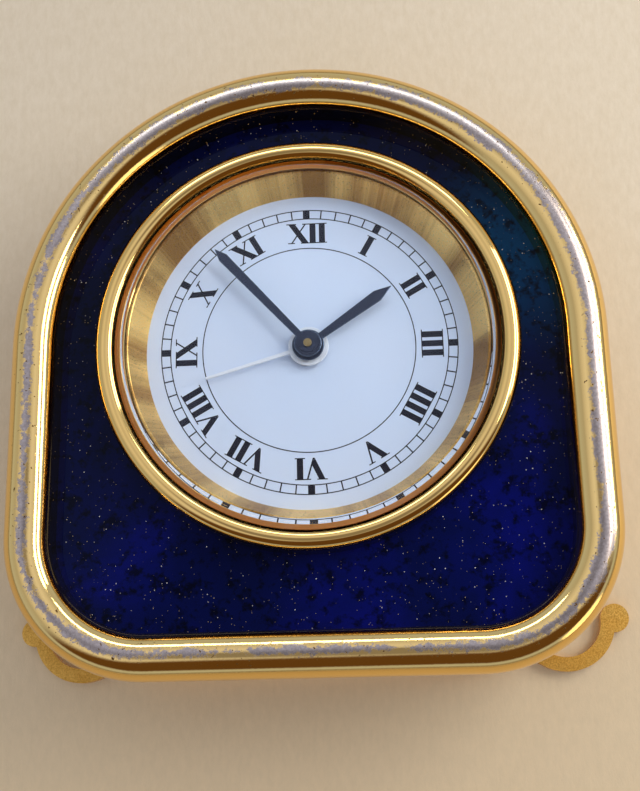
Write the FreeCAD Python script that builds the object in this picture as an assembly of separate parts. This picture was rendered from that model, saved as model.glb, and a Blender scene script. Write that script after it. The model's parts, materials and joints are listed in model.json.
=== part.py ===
import FreeCAD, Part
import math
import os

# Desk alarm clock with a round-topped case, lying on its back.
# Millimetres. +Z comes out through the dial, +Y points to twelve o'clock.
# The origin is on the axis of the hands, in the plane the clock rests on.

# Movement plates and the ring that holds them; the bezel and the case are built round them
back_plate_radius = 22.0
plate_step = 2.5
plate_thickness = 1.2
back_plate_gap = 1.1
holder_fit = 0.1
holder_wall = 1.4
holder_collar_gap = 0.2
holder_flange_inset = 1.0
holder_flange_thickness = 1.4
holder_lip_width = 2.0
holder_lip_thickness = 1.0
holder_screw_offset = 2.5
holder_screw_angles = (90.0, 210.0, 330.0)
pillar_radius = 1.5
pillar_inset = 2.0
pillar_angles = (65.0, 180.0, 270.0)
boss_radius = 1.2
boss_height = 0.6

# Flange, bezel and crystal
flange_slope_width = 1.9
flange_edge_width = 0.3
flange_top_gap = 0.3
crystal_ledge = 1.1
crystal_thickness = 2.0
crystal_bevel = 1.1
gasket_thickness = 0.2
bezel_bead_radius = 1.5
bezel_bead_rise = 3.25
bezel_lip_rise = 3.8
bezel_wall = 2.3
bezel_skirt_depth = 1.6
clamp_ring_width = 5.5
clamp_ring_room = 1.4

# Small gaps between fixed parts
part_gap = 0.1
skirt_gap = 0.1
screw_fit = 0.05
cut_margin = 1.0

# Case, outside the bezel
case_drop = 4.8
corner_radius = 20.0
bead_radius = 3.2
bead_rise = 3.05
panel_lap = 1.4
panel_rise = 2.2
panel_thickness = 1.2
skirt_depth = 2.0
band_inset = 0.8
band_wall = 1.5
band_flange_thickness = 1.5
band_rim_width = 2.0
leg_space = 2.3
cover_thickness = 1.2
cover_edge_round = 0.8

# Dial and hands
dial_thickness = 0.4
dial_edge_gap = 0.3
dial_hole_gap = 0.1
dial_foot_radius = 0.6
dial_foot_inset = 4.5
dial_foot_bite = 0.8
dial_foot_angles = (-55.0, 125.0)
hand_thickness = 0.22
alarm_hand_rise = 0.75
alarm_hour_gap = 0.43
hour_minute_gap = 0.53
pin_stand = 0.31
alarm_hand_length = 15.7
alarm_hand_width = 0.55
alarm_hand_tip_width = 0.3
alarm_hub_radius = 2.95
hour_hand_length = 15.1
hour_hand_width = 1.8
hour_hand_root_width = 0.95
hour_hand_point = 2.6
hour_hub_radius = 2.35
minute_hand_length = 20.4
minute_hand_width = 1.5
minute_hand_root_width = 0.95
minute_hand_point = 1.9
minute_hub_radius = 2.0
cap_radius = 1.35
cap_thickness = 0.12
minute_hand_clock_angle = 318.2
hour_hand_clock_angle = 55.2
alarm_hand_clock_angle = 253.9

# Shafts on the axis of the hands, one tube inside the next
minute_arbor_radius = 0.6
tube_fit = 0.05
tube_wall = 0.45

# Toothed wheels
tooth_module = 0.2
pressure_angle = math.radians(25.0)
tooth_addendum = 0.8
tooth_dedendum = 1.05
tooth_play = 0.03
wheel_thickness = 0.5
wheel_gap = 0.4
wheel_hole_share = 0.42
wheel_hole_count = 4
large_wheel_hole_count = 5
pinion_overlap = 0.1
arbor_radius = 0.35
arbor_fit = 0.05
arbor_end_gap = 0.3
train_start = 3.2
train_head_gap = 0.2
rotor_teeth = 10
fifth_wheel_teeth = 50
fifth_pinion_teeth = 10
fourth_wheel_teeth = 60
fourth_pinion_teeth = 10
third_wheel_teeth = 75
third_pinion_teeth = 10
centre_wheel_teeth = 80
cannon_teeth = 15
minute_wheel_teeth = 45
minute_pinion_teeth = 12
hour_wheel_teeth = 48
time_pinion_teeth = 15
alarm_wheel_teeth = 80
alarm_setting_teeth = 40
third_arbor_angle = 210.0
fourth_arbor_angle = 300.0
fifth_arbor_angle = 350.0
rotor_arbor_angle = 50.0
minute_wheel_angle = 160.0
alarm_setting_angle = 20.0
cannon_rise = 0.3
cannon_height = 0.7
minute_wheel_rise = 0.4
minute_pinion_height = 1.0
alarm_wheel_gap = 0.6
alarm_wheel_headroom = 0.7
post_radius = 0.5

# Clutch between the centre wheel and the minute arbor
clutch_hub_radius = 1.6
clutch_hub_extra = 0.2
clutch_shoulder_radius = 1.1
clutch_shoulder_height = 0.45
clutch_spring_radius = 1.8
clutch_spring_thickness = 0.15
clutch_gap = 0.05

# Stepping motor
magnet_radius = 1.6
magnet_height = 1.0
magnet_lift = 0.5
stator_gap = 0.3
stator_wall = 1.7
stator_thickness = 0.8
stator_arm_width = 2.0
coil_x = 17.2
coil_top_y = 3.0
core_width = 1.6
core_thickness = 0.8
coil_radius = 1.7
coil_end_gap = 0.4

# Circuit board
board_width = 8.0
board_length = 12.5
board_high = 1.5
board_thickness = 0.8
board_corner_radius = 1.0
chip_side = 4.0
chip_height = 1.2
chip_offset_x = 4.5
chip_offset_y = 3.5
can_radius = 1.0
can_length = 6.0
can_offset_x = 2.5
can_offset_y = 3.5

# Battery and its hatch
battery_radius = 5.8
battery_height = 5.4
battery_cap_radius = 4.6
battery_cap_height = 0.6
battery_edge_gap = 0.6
battery_lift = 0.8
cup_play = 0.3
cup_wall = 0.8
cup_roof = 0.6
contact_thickness = 0.2
contact_width = 3.0
negative_contact_length = 8.0
positive_contact_height = 4.0
hatch_hole_room = 0.75
hatch_fit = 0.05
hatch_flange_lap = 0.5
hatch_flange_thickness = 0.8
lug_reach = 0.65
lug_thickness = 0.5
lug_gap = 0.1
lug_half_angle = 12.0
lug_clearance_angle = 2.0
hatch_turn = 40.0
coin_slot_length = 9.0
coin_slot_width = 1.6
coin_slot_depth = 0.5

# Setting knobs on the back
knob_radius = 3.5
knob_thickness = 1.6
knob_gap = 0.2
knob_flutes = 24
knob_flute_radius = 0.28
shaft_radius = 0.8
shaft_fit = 0.05
shaft_grip = 1.2

# Alarm on-off slide switch
switch_hatch_gap = 6.7
switch_travel = 3.0
switch_cap_length = 5.0
switch_cap_width = 2.6
switch_cap_thickness = 1.2
switch_cap_gap = 0.2
switch_stem_length = 2.4
switch_stem_width = 1.2
switch_foot_length = 4.0
switch_foot_width = 2.4
switch_foot_thickness = 0.6
switch_play = 0.1
switch_box_wall = 1.0
switch_box_height = 3.0
switch_rib_width = 0.35
switch_rib_count = 5

# Buzzer and its sound holes
buzzer_angle = 140.2
buzzer_edge_gap = 1.36
buzzer_radius = 7.5
buzzer_thickness = 0.3
buzzer_element_radius = 5.0
sound_hole_radius = 0.6
sound_hole_circle_radius = 3.0
sound_hole_count = 6

# Leaf contact of the alarm
leaf_thickness = 0.2
leaf_width = 1.2
leaf_root_y = -14.0
leaf_end_y = -5.7
leaf_base_length = 2.0

# Screws
screw_radius = 0.8
screw_head_radius = 1.7
screw_head_height = 0.8
screw_slot_width = 0.4
screw_slot_depth = 0.3
small_screw_radius = 0.6
small_head_radius = 1.2
small_head_height = 0.7
post_outer_radius = 2.6
cover_post_height = 8.5
cover_screw_end_wall = 1.5
cover_post_y = 14.0
post_wall_bite = 3.35

# Legs and hinge on the back
leg_thickness = 1.6
hinge_knob_gap = 0.576
hinge_radius = 1.0
hinge_pin_radius = 0.5
hinge_fit = 0.05
hinge_bottom_inset = 9.2
hinge_end_margin = 2.0
hinge_length = 30.0
knuckle_count = 5
knuckle_gap = 0.15
knuckle_clearance = 0.3
hinge_hatch_gap = 1.7
hinge_plate_corner = 1.5
hinge_screw_margin = 4.0
hook_side_inset = 5.9
hook_bottom_inset = 8.3
hook_inner_radius = 5.3
hook_width = 2.1
hook_end_angle = 2.0
hook_end_radius = 2.1
leg_shoulder_reach = 8.2
leg_shoulder_drop = 14.0
leg_corner_round = 4.0
leg_small_round = 0.8

# Rest pads near the top of the back
pad_radius = 3.0
pad_x = 14.0
pad_edge_gap = 1.83

# Radii that follow, from the axis outwards
hour_bore = minute_arbor_radius + tube_fit
hour_tube = hour_bore + tube_wall
alarm_bore = hour_tube + tube_fit
alarm_tube = alarm_bore + tube_wall
dial_hole_radius = alarm_tube + dial_hole_gap
front_plate_radius = back_plate_radius + plate_step
pillar_circle_radius = back_plate_radius - pillar_inset
holder_collar_radius = front_plate_radius + holder_fit + holder_wall
bezel_bore_radius = holder_collar_radius + holder_collar_gap
flange_rim_radius = bezel_bore_radius - part_gap
flange_outer_radius = flange_rim_radius - flange_edge_width
flange_inner_radius = flange_outer_radius - flange_slope_width
bezel_spigot_radius = bezel_bore_radius + bezel_wall
crystal_radius = bezel_bore_radius + crystal_ledge
bezel_lip_radius = crystal_radius + part_gap
bezel_outer_radius = bezel_lip_radius + 2 * bezel_bead_radius
dial_radius = bezel_bore_radius - dial_edge_gap
dial_foot_circle_radius = front_plate_radius - dial_foot_inset
clamp_ring_radius = bezel_spigot_radius + clamp_ring_width
holder_flange_radius = clamp_ring_radius - holder_flange_inset
holder_screw_circle_radius = bezel_spigot_radius + holder_screw_offset
panel_inset = 2 * bead_radius - panel_lap
case_half_width = clamp_ring_radius + clamp_ring_room + band_rim_width + panel_inset
case_bottom = case_half_width + case_drop
cup_inner_radius = battery_radius + cup_play
cup_outer_radius = cup_inner_radius + cup_wall
hatch_plug_radius = battery_radius + hatch_hole_room
hatch_flange_radius = hatch_plug_radius + lug_reach + lug_gap + hatch_flange_lap
stator_half_block = magnet_radius + stator_gap + stator_wall
buzzer_circle_radius = case_half_width - band_inset - band_wall - buzzer_edge_gap - buzzer_radius

# Heights that follow, from the resting plane up to the movement's front plate
cover_z = leg_space
band_z = cover_z + cover_thickness
battery_z = band_z + battery_lift
back_plate_bottom = band_z + back_plate_gap
back_plate_top = back_plate_bottom + plate_thickness
stator_z = back_plate_top + boss_height
wheel_step = wheel_thickness + wheel_gap
fifth_level = back_plate_top + train_start
fourth_level = fifth_level + wheel_step
third_level = fourth_level + wheel_step
centre_level = third_level + wheel_step
clutch_spring_z = centre_level + wheel_thickness + clutch_hub_extra + clutch_gap
front_plate_bottom = clutch_spring_z + clutch_spring_thickness + train_head_gap
front_plate_top = front_plate_bottom + plate_thickness
arbor_low = back_plate_bottom + arbor_end_gap
arbor_high = front_plate_top - arbor_end_gap

# Heights of the motion work, the dial and the hands
cannon_z = front_plate_top + cannon_rise
minute_wheel_z = front_plate_top + minute_wheel_rise
minute_pinion_z = minute_wheel_z + wheel_thickness
hour_wheel_z = minute_pinion_z + wheel_gap
alarm_wheel_z = hour_wheel_z + wheel_thickness + alarm_wheel_gap
dial_bottom = alarm_wheel_z + wheel_thickness + alarm_wheel_headroom
dial_foot_depth = dial_bottom - front_plate_top + dial_foot_bite
dial_z = dial_bottom + dial_thickness
hour_hand_rise = alarm_hand_rise + hand_thickness + alarm_hour_gap
minute_hand_rise = hour_hand_rise + hand_thickness + hour_minute_gap
pin_rise = minute_hand_rise + hand_thickness + cap_thickness + pin_stand

# Heights of the front of the case
panel_z = dial_z + panel_rise
panel_bottom = panel_z - panel_thickness
seam_z = panel_bottom - skirt_depth
bead_z = panel_z + bead_rise
bezel_seat_z = panel_z
crystal_seat_z = bezel_seat_z + bezel_lip_rise - crystal_thickness + crystal_bevel
flange_top = crystal_seat_z - gasket_thickness - flange_top_gap
spigot_bottom = panel_bottom - bezel_skirt_depth
cover_screw_length = cover_post_height - cover_screw_end_wall

# Places of the circuit board's parts, from the pillar that it leans on
board_left = -(pillar_circle_radius - pillar_radius)
board_right = board_left + board_width
board_low = board_high - board_length
chip_x = board_left + chip_offset_x
chip_y = board_low + chip_offset_y
can_x = board_left + can_offset_x
can_y = board_high - can_offset_y

# Places on the back, from the battery upwards and downwards
battery_y = back_plate_radius - cup_outer_radius - battery_edge_gap
switch_y = battery_y + hatch_flange_radius + switch_hatch_gap
hinge_plate_high_y = battery_y - hatch_flange_radius - hinge_hatch_gap

# Places on the back that follow from the case
hook_x = case_half_width - hook_side_inset
hook_y = -(case_bottom - hook_bottom_inset)
hinge_plate_low_y = -(case_bottom - hinge_bottom_inset)
hinge_low_y = hinge_plate_low_y + hinge_end_margin
hinge_high_y = hinge_low_y + hinge_length
hinge_screw_y = (hinge_high_y - hinge_screw_margin, hinge_low_y + hinge_screw_margin)
leg_shoulder_y = hinge_high_y - leg_shoulder_drop
pad_circle_radius = case_half_width - band_inset - pad_edge_gap - pad_radius
pad_y = math.sqrt(pad_circle_radius ** 2 - pad_x ** 2)


def polar(radius, degrees):
    angle = math.radians(degrees)
    return (radius * math.cos(angle), radius * math.sin(angle))


def step_from(point, radius, degrees):
    dx, dy = polar(radius, degrees)
    return (point[0] + dx, point[1] + dy)


def clock_to_degrees(clock_angle):
    return 90.0 - clock_angle


def mesh_distance(teeth_a, teeth_b):
    return tooth_module * (teeth_a + teeth_b) / 2.0


# Places of the arbors, each stepped off from the one it meshes with
third_at = polar(mesh_distance(third_pinion_teeth, centre_wheel_teeth), third_arbor_angle)
fourth_at = step_from(
    third_at, mesh_distance(fourth_pinion_teeth, third_wheel_teeth), fourth_arbor_angle)
fifth_at = step_from(
    fourth_at, mesh_distance(fifth_pinion_teeth, fourth_wheel_teeth), fifth_arbor_angle)
rotor_at = step_from(fifth_at, mesh_distance(rotor_teeth, fifth_wheel_teeth), rotor_arbor_angle)
minute_wheel_at = polar(mesh_distance(cannon_teeth, minute_wheel_teeth), minute_wheel_angle)
time_knob_at = step_from(
    minute_wheel_at, mesh_distance(minute_wheel_teeth, time_pinion_teeth), minute_wheel_angle)
alarm_knob_at = polar(mesh_distance(alarm_wheel_teeth, alarm_setting_teeth), alarm_setting_angle)
centre_at = (0.0, 0.0)
battery_at = (0.0, battery_y)
buzzer_at = polar(buzzer_circle_radius, buzzer_angle)
small_arbors = (third_at, fourth_at, fifth_at, rotor_at)

# The hinges stand beside the knobs, and the legs start from them
hinge_reach = hinge_radius + knuckle_clearance
hinge_x = alarm_knob_at[0] - knob_radius - hinge_knob_gap + hinge_reach
leg_inner_x = hinge_x + hinge_reach
leg_shoulder_x = leg_inner_x + leg_shoulder_reach


# Basic solids

def vector(x, y, z):
    return FreeCAD.Vector(x, y, z)


def disc(radius, low, high, at=centre_at):
    return Part.makeCylinder(radius, high - low, vector(at[0], at[1], low))


def ring(outer, inner, low, high, at=centre_at):
    return disc(outer, low, high, at).cut(disc(inner, low - cut_margin, high + cut_margin, at))


def block(x0, x1, y0, y1, z0, z1):
    return Part.makeBox(x1 - x0, y1 - y0, z1 - z0, vector(x0, y0, z0))


def join(shapes):
    whole = shapes[0].multiFuse(shapes[1:]) if len(shapes) > 1 else shapes[0]
    return whole.removeSplitter()


def turned(points):
    """Solid of revolution about the axis of the hands, from (radius, height) points."""
    corners = [vector(r, 0, z) for r, z in points]
    outline = Part.makePolygon(corners + corners[:1])
    return Part.Face(outline).revolve(vector(0, 0, 0), vector(0, 0, 1), 360)


def prism(wire, low, high):
    face = Part.Face(wire)
    face.translate(vector(0, 0, low))
    return face.extrude(vector(0, 0, high - low))


def rounded_outline(points, radii):
    """Closed flat outline whose corners are rounded with tangent arcs."""
    count = len(points)
    entries = []
    for i in range(count):
        here = vector(points[i][0], points[i][1], 0)
        before = vector(points[i - 1][0], points[i - 1][1], 0)
        after = vector(points[(i + 1) % count][0], points[(i + 1) % count][1], 0)
        radius = radii[i]
        if radius == 0:
            entries.append((here, None, here))
            continue
        back = (before - here).normalize()
        ahead = (after - here).normalize()
        half = back.getAngle(ahead) / 2.0
        reach = radius / math.tan(half)
        middle = (back + ahead).normalize()
        centre = here + middle * (radius / math.sin(half))
        entries.append((here + back * reach, centre - middle * radius, here + ahead * reach))
    edges = []
    for i in range(count):
        start, bend, end = entries[i]
        if bend is not None:
            edges.append(Part.Arc(start, bend, end).toShape())
        following = entries[(i + 1) % count][0]
        if end.distanceToPoint(following) > 1e-6:
            edges.append(Part.LineSegment(end, following).toShape())
    return Part.Wire(edges)


def rounded_plate(points, radii, low, high):
    return prism(rounded_outline(points, radii), low, high)


def slotted_screw(at, head_radius, head_height, radius, head_low, length):
    """Pan-head screw whose head faces the resting plane."""
    head = disc(head_radius, head_low, head_low + head_height, at)
    shank = disc(radius, head_low + head_height, head_low + head_height + length, at)
    slot = block(at[0] - head_radius, at[0] + head_radius, at[1] - screw_slot_width / 2,
                 at[1] + screw_slot_width / 2, head_low, head_low + screw_slot_depth)
    return join([head, shank]).cut(slot)


def group(solids):
    return Part.makeCompound(solids)


# Case outline: a half circle over straight sides with round lower corners

def case_outline(inset):
    half = case_half_width - inset
    low = -(case_bottom - inset)
    corner = corner_radius - inset
    diagonal = corner * math.sqrt(0.5)
    cx = half - corner
    cy = low + corner
    edges = [
        Part.Arc(vector(half, 0, 0), vector(0, half, 0), vector(-half, 0, 0)).toShape(),
        Part.LineSegment(vector(-half, 0, 0), vector(-half, cy, 0)).toShape(),
        Part.Arc(vector(-half, cy, 0), vector(-cx - diagonal, cy - diagonal, 0),
                 vector(-cx, low, 0)).toShape(),
        Part.LineSegment(vector(-cx, low, 0), vector(cx, low, 0)).toShape(),
        Part.Arc(vector(cx, low, 0), vector(cx + diagonal, cy - diagonal, 0),
                 vector(half, cy, 0)).toShape(),
        Part.LineSegment(vector(half, cy, 0), vector(half, 0, 0)).toShape(),
    ]
    return Part.Wire(edges)


def case_prism(inset, low, high):
    return prism(case_outline(inset), low, high)


def case_ring(outer_inset, inner_inset, low, high):
    hollow = case_prism(inner_inset, low - cut_margin, high + cut_margin)
    return case_prism(outer_inset, low, high).cut(hollow)


def corner_points(depth):
    """Points on the diagonals of the two lower corners, a depth inside the outline."""
    reach = (corner_radius - depth) * math.sqrt(0.5)
    x = case_half_width - corner_radius + reach
    y = -(case_bottom - corner_radius) - reach
    return [(x, y), (-x, y)]


def frame_profile(along):
    """Section of the front frame at a place on the outline, facing inwards along a direction.

    along is a function from (inward distance, height) to a point in space.
    """
    fall = math.sqrt(bead_radius ** 2 - (bead_radius - band_inset) ** 2)
    skirt_inner = panel_inset - skirt_gap
    lower_outer = along(band_inset, seam_z)
    upper_outer = along(band_inset, bead_z - fall)
    flank = along(0.0, bead_z)
    crest = along(bead_radius, bead_z + bead_radius)
    inner_flank = along(2 * bead_radius, bead_z)
    ledge_inner = along(2 * bead_radius, panel_z)
    ledge_outer = along(skirt_inner, panel_z)
    lower_inner = along(skirt_inner, seam_z)
    edges = [
        Part.LineSegment(lower_outer, upper_outer).toShape(),
        Part.Arc(upper_outer, flank, crest).toShape(),
        Part.Arc(crest, along(bead_radius * (1 + math.sqrt(0.5)),
                              bead_z + bead_radius * math.sqrt(0.5)), inner_flank).toShape(),
        Part.LineSegment(inner_flank, ledge_inner).toShape(),
        Part.LineSegment(ledge_inner, ledge_outer).toShape(),
        Part.LineSegment(ledge_outer, lower_inner).toShape(),
        Part.LineSegment(lower_inner, lower_outer).toShape(),
    ]
    return Part.Face(Part.Wire(edges))


def frame_screw_points():
    """Four screws that tie the case band to the front frame."""
    depth = band_inset + band_wall + small_head_radius + part_gap
    reach = (case_half_width - depth) * math.sqrt(0.5)
    return [(reach, reach), (-reach, reach)] + corner_points(depth)


def cover_post_points():
    radius = case_half_width - band_inset - post_wall_bite
    x = math.sqrt(radius ** 2 - cover_post_y ** 2)
    return [(x, cover_post_y), (-x, cover_post_y)] + corner_points(band_inset + post_wall_bite)


# Case parts

def rim_frame():
    """Gold bead round the front, with the skirt that holds the panel."""
    half = case_half_width
    cx = half - corner_radius
    cy = -(case_bottom - corner_radius)
    right = frame_profile(lambda u, z: vector(half - u, 0, z))
    left = frame_profile(lambda u, z: vector(-half + u, 0, z))
    right_low = frame_profile(lambda u, z: vector(half - u, cy, z))
    left_low = frame_profile(lambda u, z: vector(-half + u, cy, z))
    bottom = frame_profile(lambda u, z: vector(-cx, -case_bottom + u, z))
    stretches = [
        right.revolve(vector(0, 0, 0), vector(0, 0, 1), 180),
        right.extrude(vector(0, cy, 0)),
        left.extrude(vector(0, cy, 0)),
        right_low.revolve(vector(cx, cy, 0), vector(0, 0, 1), -90),
        left_low.revolve(vector(-cx, cy, 0), vector(0, 0, 1), 90),
        bottom.extrude(vector(2 * cx, 0, 0)),
    ]
    body = join(stretches)
    depth = small_screw_depth()
    holes = [disc(small_screw_radius + screw_fit, seam_z - cut_margin, seam_z + depth + screw_fit, at)
             for at in frame_screw_points()]
    return body.cut(holes)


def small_screw_depth():
    """How far the small screws of the frame reach above the seam."""
    return skirt_depth - 2 * small_screw_radius + panel_thickness / 2


def case_band():
    """Deep wall of the case, with the flange that meets the frame and four screw posts."""
    flange_low = seam_z - band_flange_thickness
    inner = panel_inset + band_rim_width
    wall = case_ring(band_inset, band_inset + band_wall, band_z, seam_z)
    flange = case_ring(band_inset, inner, flange_low, seam_z)
    rim = case_ring(panel_inset, inner, flange_low, panel_bottom)
    posts = [disc(post_outer_radius, band_z, band_z + cover_post_height, at)
             for at in cover_post_points()]
    trimmed = [post.common(case_prism(band_inset, band_z, seam_z)) for post in posts]
    body = join([wall, flange, rim] + trimmed)
    post_holes = [disc(screw_radius + screw_fit, band_z - cut_margin, band_z + cover_screw_length, at)
                  for at in cover_post_points()]
    flange_holes = [disc(small_screw_radius + screw_fit, flange_low - cut_margin, seam_z + cut_margin, at)
                    for at in frame_screw_points()]
    return body.cut(post_holes + flange_holes)


def face_panel():
    """Lacquered front plate with the round opening for the bezel."""
    plate = case_prism(panel_inset, panel_bottom, panel_z)
    return plate.cut(disc(bezel_spigot_radius + part_gap, panel_bottom - cut_margin, panel_z + cut_margin))


def back_cover():
    """Flat back with its openings for hatch, knobs, switch, sound and screws."""
    body = case_prism(band_inset, cover_z, band_z)
    outer_edges = [edge for edge in body.Edges if edge.BoundBox.ZMax < cover_z + 1e-6]
    body = body.makeFillet(cover_edge_round, outer_edges)
    low = cover_z - cut_margin
    high = band_z + cut_margin
    cuts = [disc(hatch_plug_radius + hatch_fit, low, high, battery_at)]
    for side in (0.0, 180.0):
        cuts.append(hatch_sector(side + hatch_turn, lug_half_angle + lug_clearance_angle,
                                 hatch_plug_radius + lug_reach + lug_gap, low, high))
    for at in (time_knob_at, alarm_knob_at):
        cuts.append(disc(shaft_radius + shaft_fit, low, high, at))
    half_stem = switch_stem_length / 2 + switch_play
    half_width = switch_stem_width / 2 + switch_play
    cuts.append(block(-half_stem, half_stem + switch_travel, switch_y - half_width,
                      switch_y + half_width, low, high))
    for at in sound_hole_points():
        cuts.append(disc(sound_hole_radius, low, high, at))
    for at in cover_post_points():
        cuts.append(disc(screw_radius + screw_fit, low, high, at))
        cuts.append(disc(screw_head_radius + part_gap, low, cover_z + screw_head_height, at))
    for y in hinge_screw_y:
        cuts.append(disc(screw_radius, low, high, (0.0, y)))
    return body.cut(cuts)


def sound_hole_points():
    points = [buzzer_at]
    for i in range(sound_hole_count):
        points.append(step_from(buzzer_at, sound_hole_circle_radius,
                                360.0 * i / sound_hole_count))
    return points


def cover_screws():
    return group([slotted_screw(at, screw_head_radius, screw_head_height, screw_radius, cover_z,
                                cover_screw_length) for at in cover_post_points()])


def frame_screws():
    head_low = seam_z - band_flange_thickness - small_head_height
    length = band_flange_thickness + small_screw_depth()
    return group([slotted_screw(at, small_head_radius, small_head_height, small_screw_radius,
                                head_low, length) for at in frame_screw_points()])


# Bezel group

def bezel():
    """Polished ring with a rounded bead, a seat for the crystal and a spigot through the panel."""
    bead_r = bezel_lip_radius + bezel_bead_radius
    bead_top = bezel_seat_z + bezel_bead_rise
    seat_z = crystal_seat_z - gasket_thickness
    corners = [vector(bezel_lip_radius, 0, bead_top), vector(bezel_lip_radius, 0, seat_z),
               vector(bezel_bore_radius, 0, seat_z), vector(bezel_bore_radius, 0, spigot_bottom),
               vector(bezel_spigot_radius, 0, spigot_bottom),
               vector(bezel_spigot_radius, 0, bezel_seat_z),
               vector(bezel_outer_radius, 0, bezel_seat_z),
               vector(bezel_outer_radius, 0, bead_top)]
    edges = [Part.LineSegment(a, b).toShape() for a, b in zip(corners, corners[1:])]
    edges.append(Part.Arc(corners[-1], vector(bead_r, 0, bead_top + bezel_bead_radius),
                          corners[0]).toShape())
    return Part.Face(Part.Wire(edges)).revolve(vector(0, 0, 0), vector(0, 0, 1), 360)


def crystal():
    """Mineral glass disc with a bevelled edge."""
    top = crystal_seat_z + crystal_thickness
    return turned([(0, crystal_seat_z), (crystal_radius, crystal_seat_z),
                   (crystal_radius, top - crystal_bevel), (crystal_radius - crystal_bevel, top),
                   (0, top)])


def crystal_gasket():
    return ring(crystal_radius, bezel_bore_radius + part_gap, crystal_seat_z - gasket_thickness,
                crystal_seat_z)


def flange_ring():
    """Brushed cone between the dial and the crystal."""
    return turned([(flange_inner_radius, dial_z), (flange_rim_radius, dial_z),
                   (flange_rim_radius, flange_top), (flange_outer_radius, flange_top)])


def bezel_clamp_ring():
    """Threaded ring that pulls the bezel down on the panel from behind."""
    body = ring(clamp_ring_radius, bezel_spigot_radius + screw_fit, spigot_bottom, panel_bottom)
    holes = [disc(small_screw_radius + screw_fit, spigot_bottom - cut_margin,
                  panel_bottom - part_gap, at) for at in holder_screw_points()]
    return body.cut(holes)


def holder_screw_points():
    return [polar(holder_screw_circle_radius, angle) for angle in holder_screw_angles]


# Dial and hands

def dial():
    plate = ring(dial_radius, dial_hole_radius, dial_bottom, dial_z)
    feet = [disc(dial_foot_radius, dial_bottom - dial_foot_depth, dial_bottom, at)
            for at in dial_foot_points()]
    return join([plate] + feet)


def dial_foot_points():
    return [polar(dial_foot_circle_radius, angle) for angle in dial_foot_angles]


def pointed_hand(length, width, root_width, point, clock_angle, low):
    """Hand that widens from its root and ends in a point."""
    outline = Part.makePolygon([
        vector(0, -root_width / 2, low), vector(length - point, -width / 2, low),
        vector(length, 0, low), vector(length - point, width / 2, low),
        vector(0, root_width / 2, low), vector(0, -root_width / 2, low)])
    hand = Part.Face(outline).extrude(vector(0, 0, hand_thickness))
    hand.rotate(vector(0, 0, 0), vector(0, 0, 1), clock_to_degrees(clock_angle))
    return hand


def hand_with_hub(blade, hub_radius, hole_radius, low):
    hub = disc(hub_radius, low, low + hand_thickness)
    hole = disc(hole_radius, low - cut_margin, low + hand_thickness + cut_margin)
    return join([blade, hub]).cut(hole)


def minute_hand():
    low = dial_z + minute_hand_rise
    blade = pointed_hand(minute_hand_length, minute_hand_width, minute_hand_root_width,
                         minute_hand_point, minute_hand_clock_angle, low)
    return hand_with_hub(blade, minute_hub_radius, minute_arbor_radius, low)


def hour_hand():
    low = dial_z + hour_hand_rise
    blade = pointed_hand(hour_hand_length, hour_hand_width, hour_hand_root_width,
                         hour_hand_point, hour_hand_clock_angle, low)
    return hand_with_hub(blade, hour_hub_radius, hour_tube, low)


def alarm_hand():
    low = dial_z + alarm_hand_rise
    half = alarm_hand_width / 2
    tip = alarm_hand_tip_width / 2
    outline = Part.makePolygon([
        vector(0, -half, low), vector(alarm_hand_length, -tip, low),
        vector(alarm_hand_length, tip, low), vector(0, half, low), vector(0, -half, low)])
    blade = Part.Face(outline).extrude(vector(0, 0, hand_thickness))
    blade.rotate(vector(0, 0, 0), vector(0, 0, 1), clock_to_degrees(alarm_hand_clock_angle))
    return hand_with_hub(blade, alarm_hub_radius, alarm_tube, low)


def hand_cap():
    """Raised boss on the hub of the minute hand, round the pin."""
    low = dial_z + minute_hand_rise + hand_thickness
    return ring(cap_radius, minute_arbor_radius, low, low + cap_thickness)


# Toothed wheels

def involute(angle):
    return math.tan(angle) - angle


def toothed_disc(teeth, at, phase, low, high):
    """Wheel or pinion with straight-sided approximations of involute teeth."""
    pitch = tooth_module * teeth / 2
    base = pitch * math.cos(pressure_angle)
    outer = pitch + tooth_addendum * tooth_module
    root = pitch - tooth_dedendum * tooth_module
    half_tooth = (math.pi * tooth_module / 2 - tooth_play) / (2 * pitch)
    start = max(base, root)
    flank = []
    steps = 3
    for i in range(steps + 1):
        radius = start + (outer - start) * i / steps
        turn = half_tooth + involute(pressure_angle) - involute(math.acos(base / radius))
        flank.append((radius, turn))
    if start > root:
        flank.insert(0, (root, flank[0][1]))
    points = []
    for tooth in range(teeth):
        middle = phase + 2 * math.pi * tooth / teeth
        for radius, turn in flank:
            points.append((radius, middle - turn))
        for radius, turn in reversed(flank):
            points.append((radius, middle + turn))
    corners = [vector(at[0] + radius * math.cos(angle), at[1] + radius * math.sin(angle), low)
               for radius, angle in points]
    face = Part.Face(Part.makePolygon(corners + corners[:1]))
    return face.extrude(vector(0, 0, high - low))


def meshing_phase(driver_teeth, driver_at, driver_phase, teeth, at):
    """Phase of a wheel whose gap meets the driver's tooth on the line of centres."""
    toward = math.atan2(at[1] - driver_at[1], at[0] - driver_at[0])
    driver_share = (toward - driver_phase) * driver_teeth / (2 * math.pi)
    return toward + math.pi - (2 * math.pi / teeth) * (0.5 - driver_share)


def lightened(wheel, teeth, at, count, low, high):
    """Round holes between hub and rim."""
    circle = tooth_module * teeth / 4
    radius = circle * wheel_hole_share
    holes = [disc(radius, low - cut_margin, high + cut_margin, step_from(at, circle, 360.0 * i / count))
             for i in range(count)]
    return wheel.cut(holes)


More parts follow.
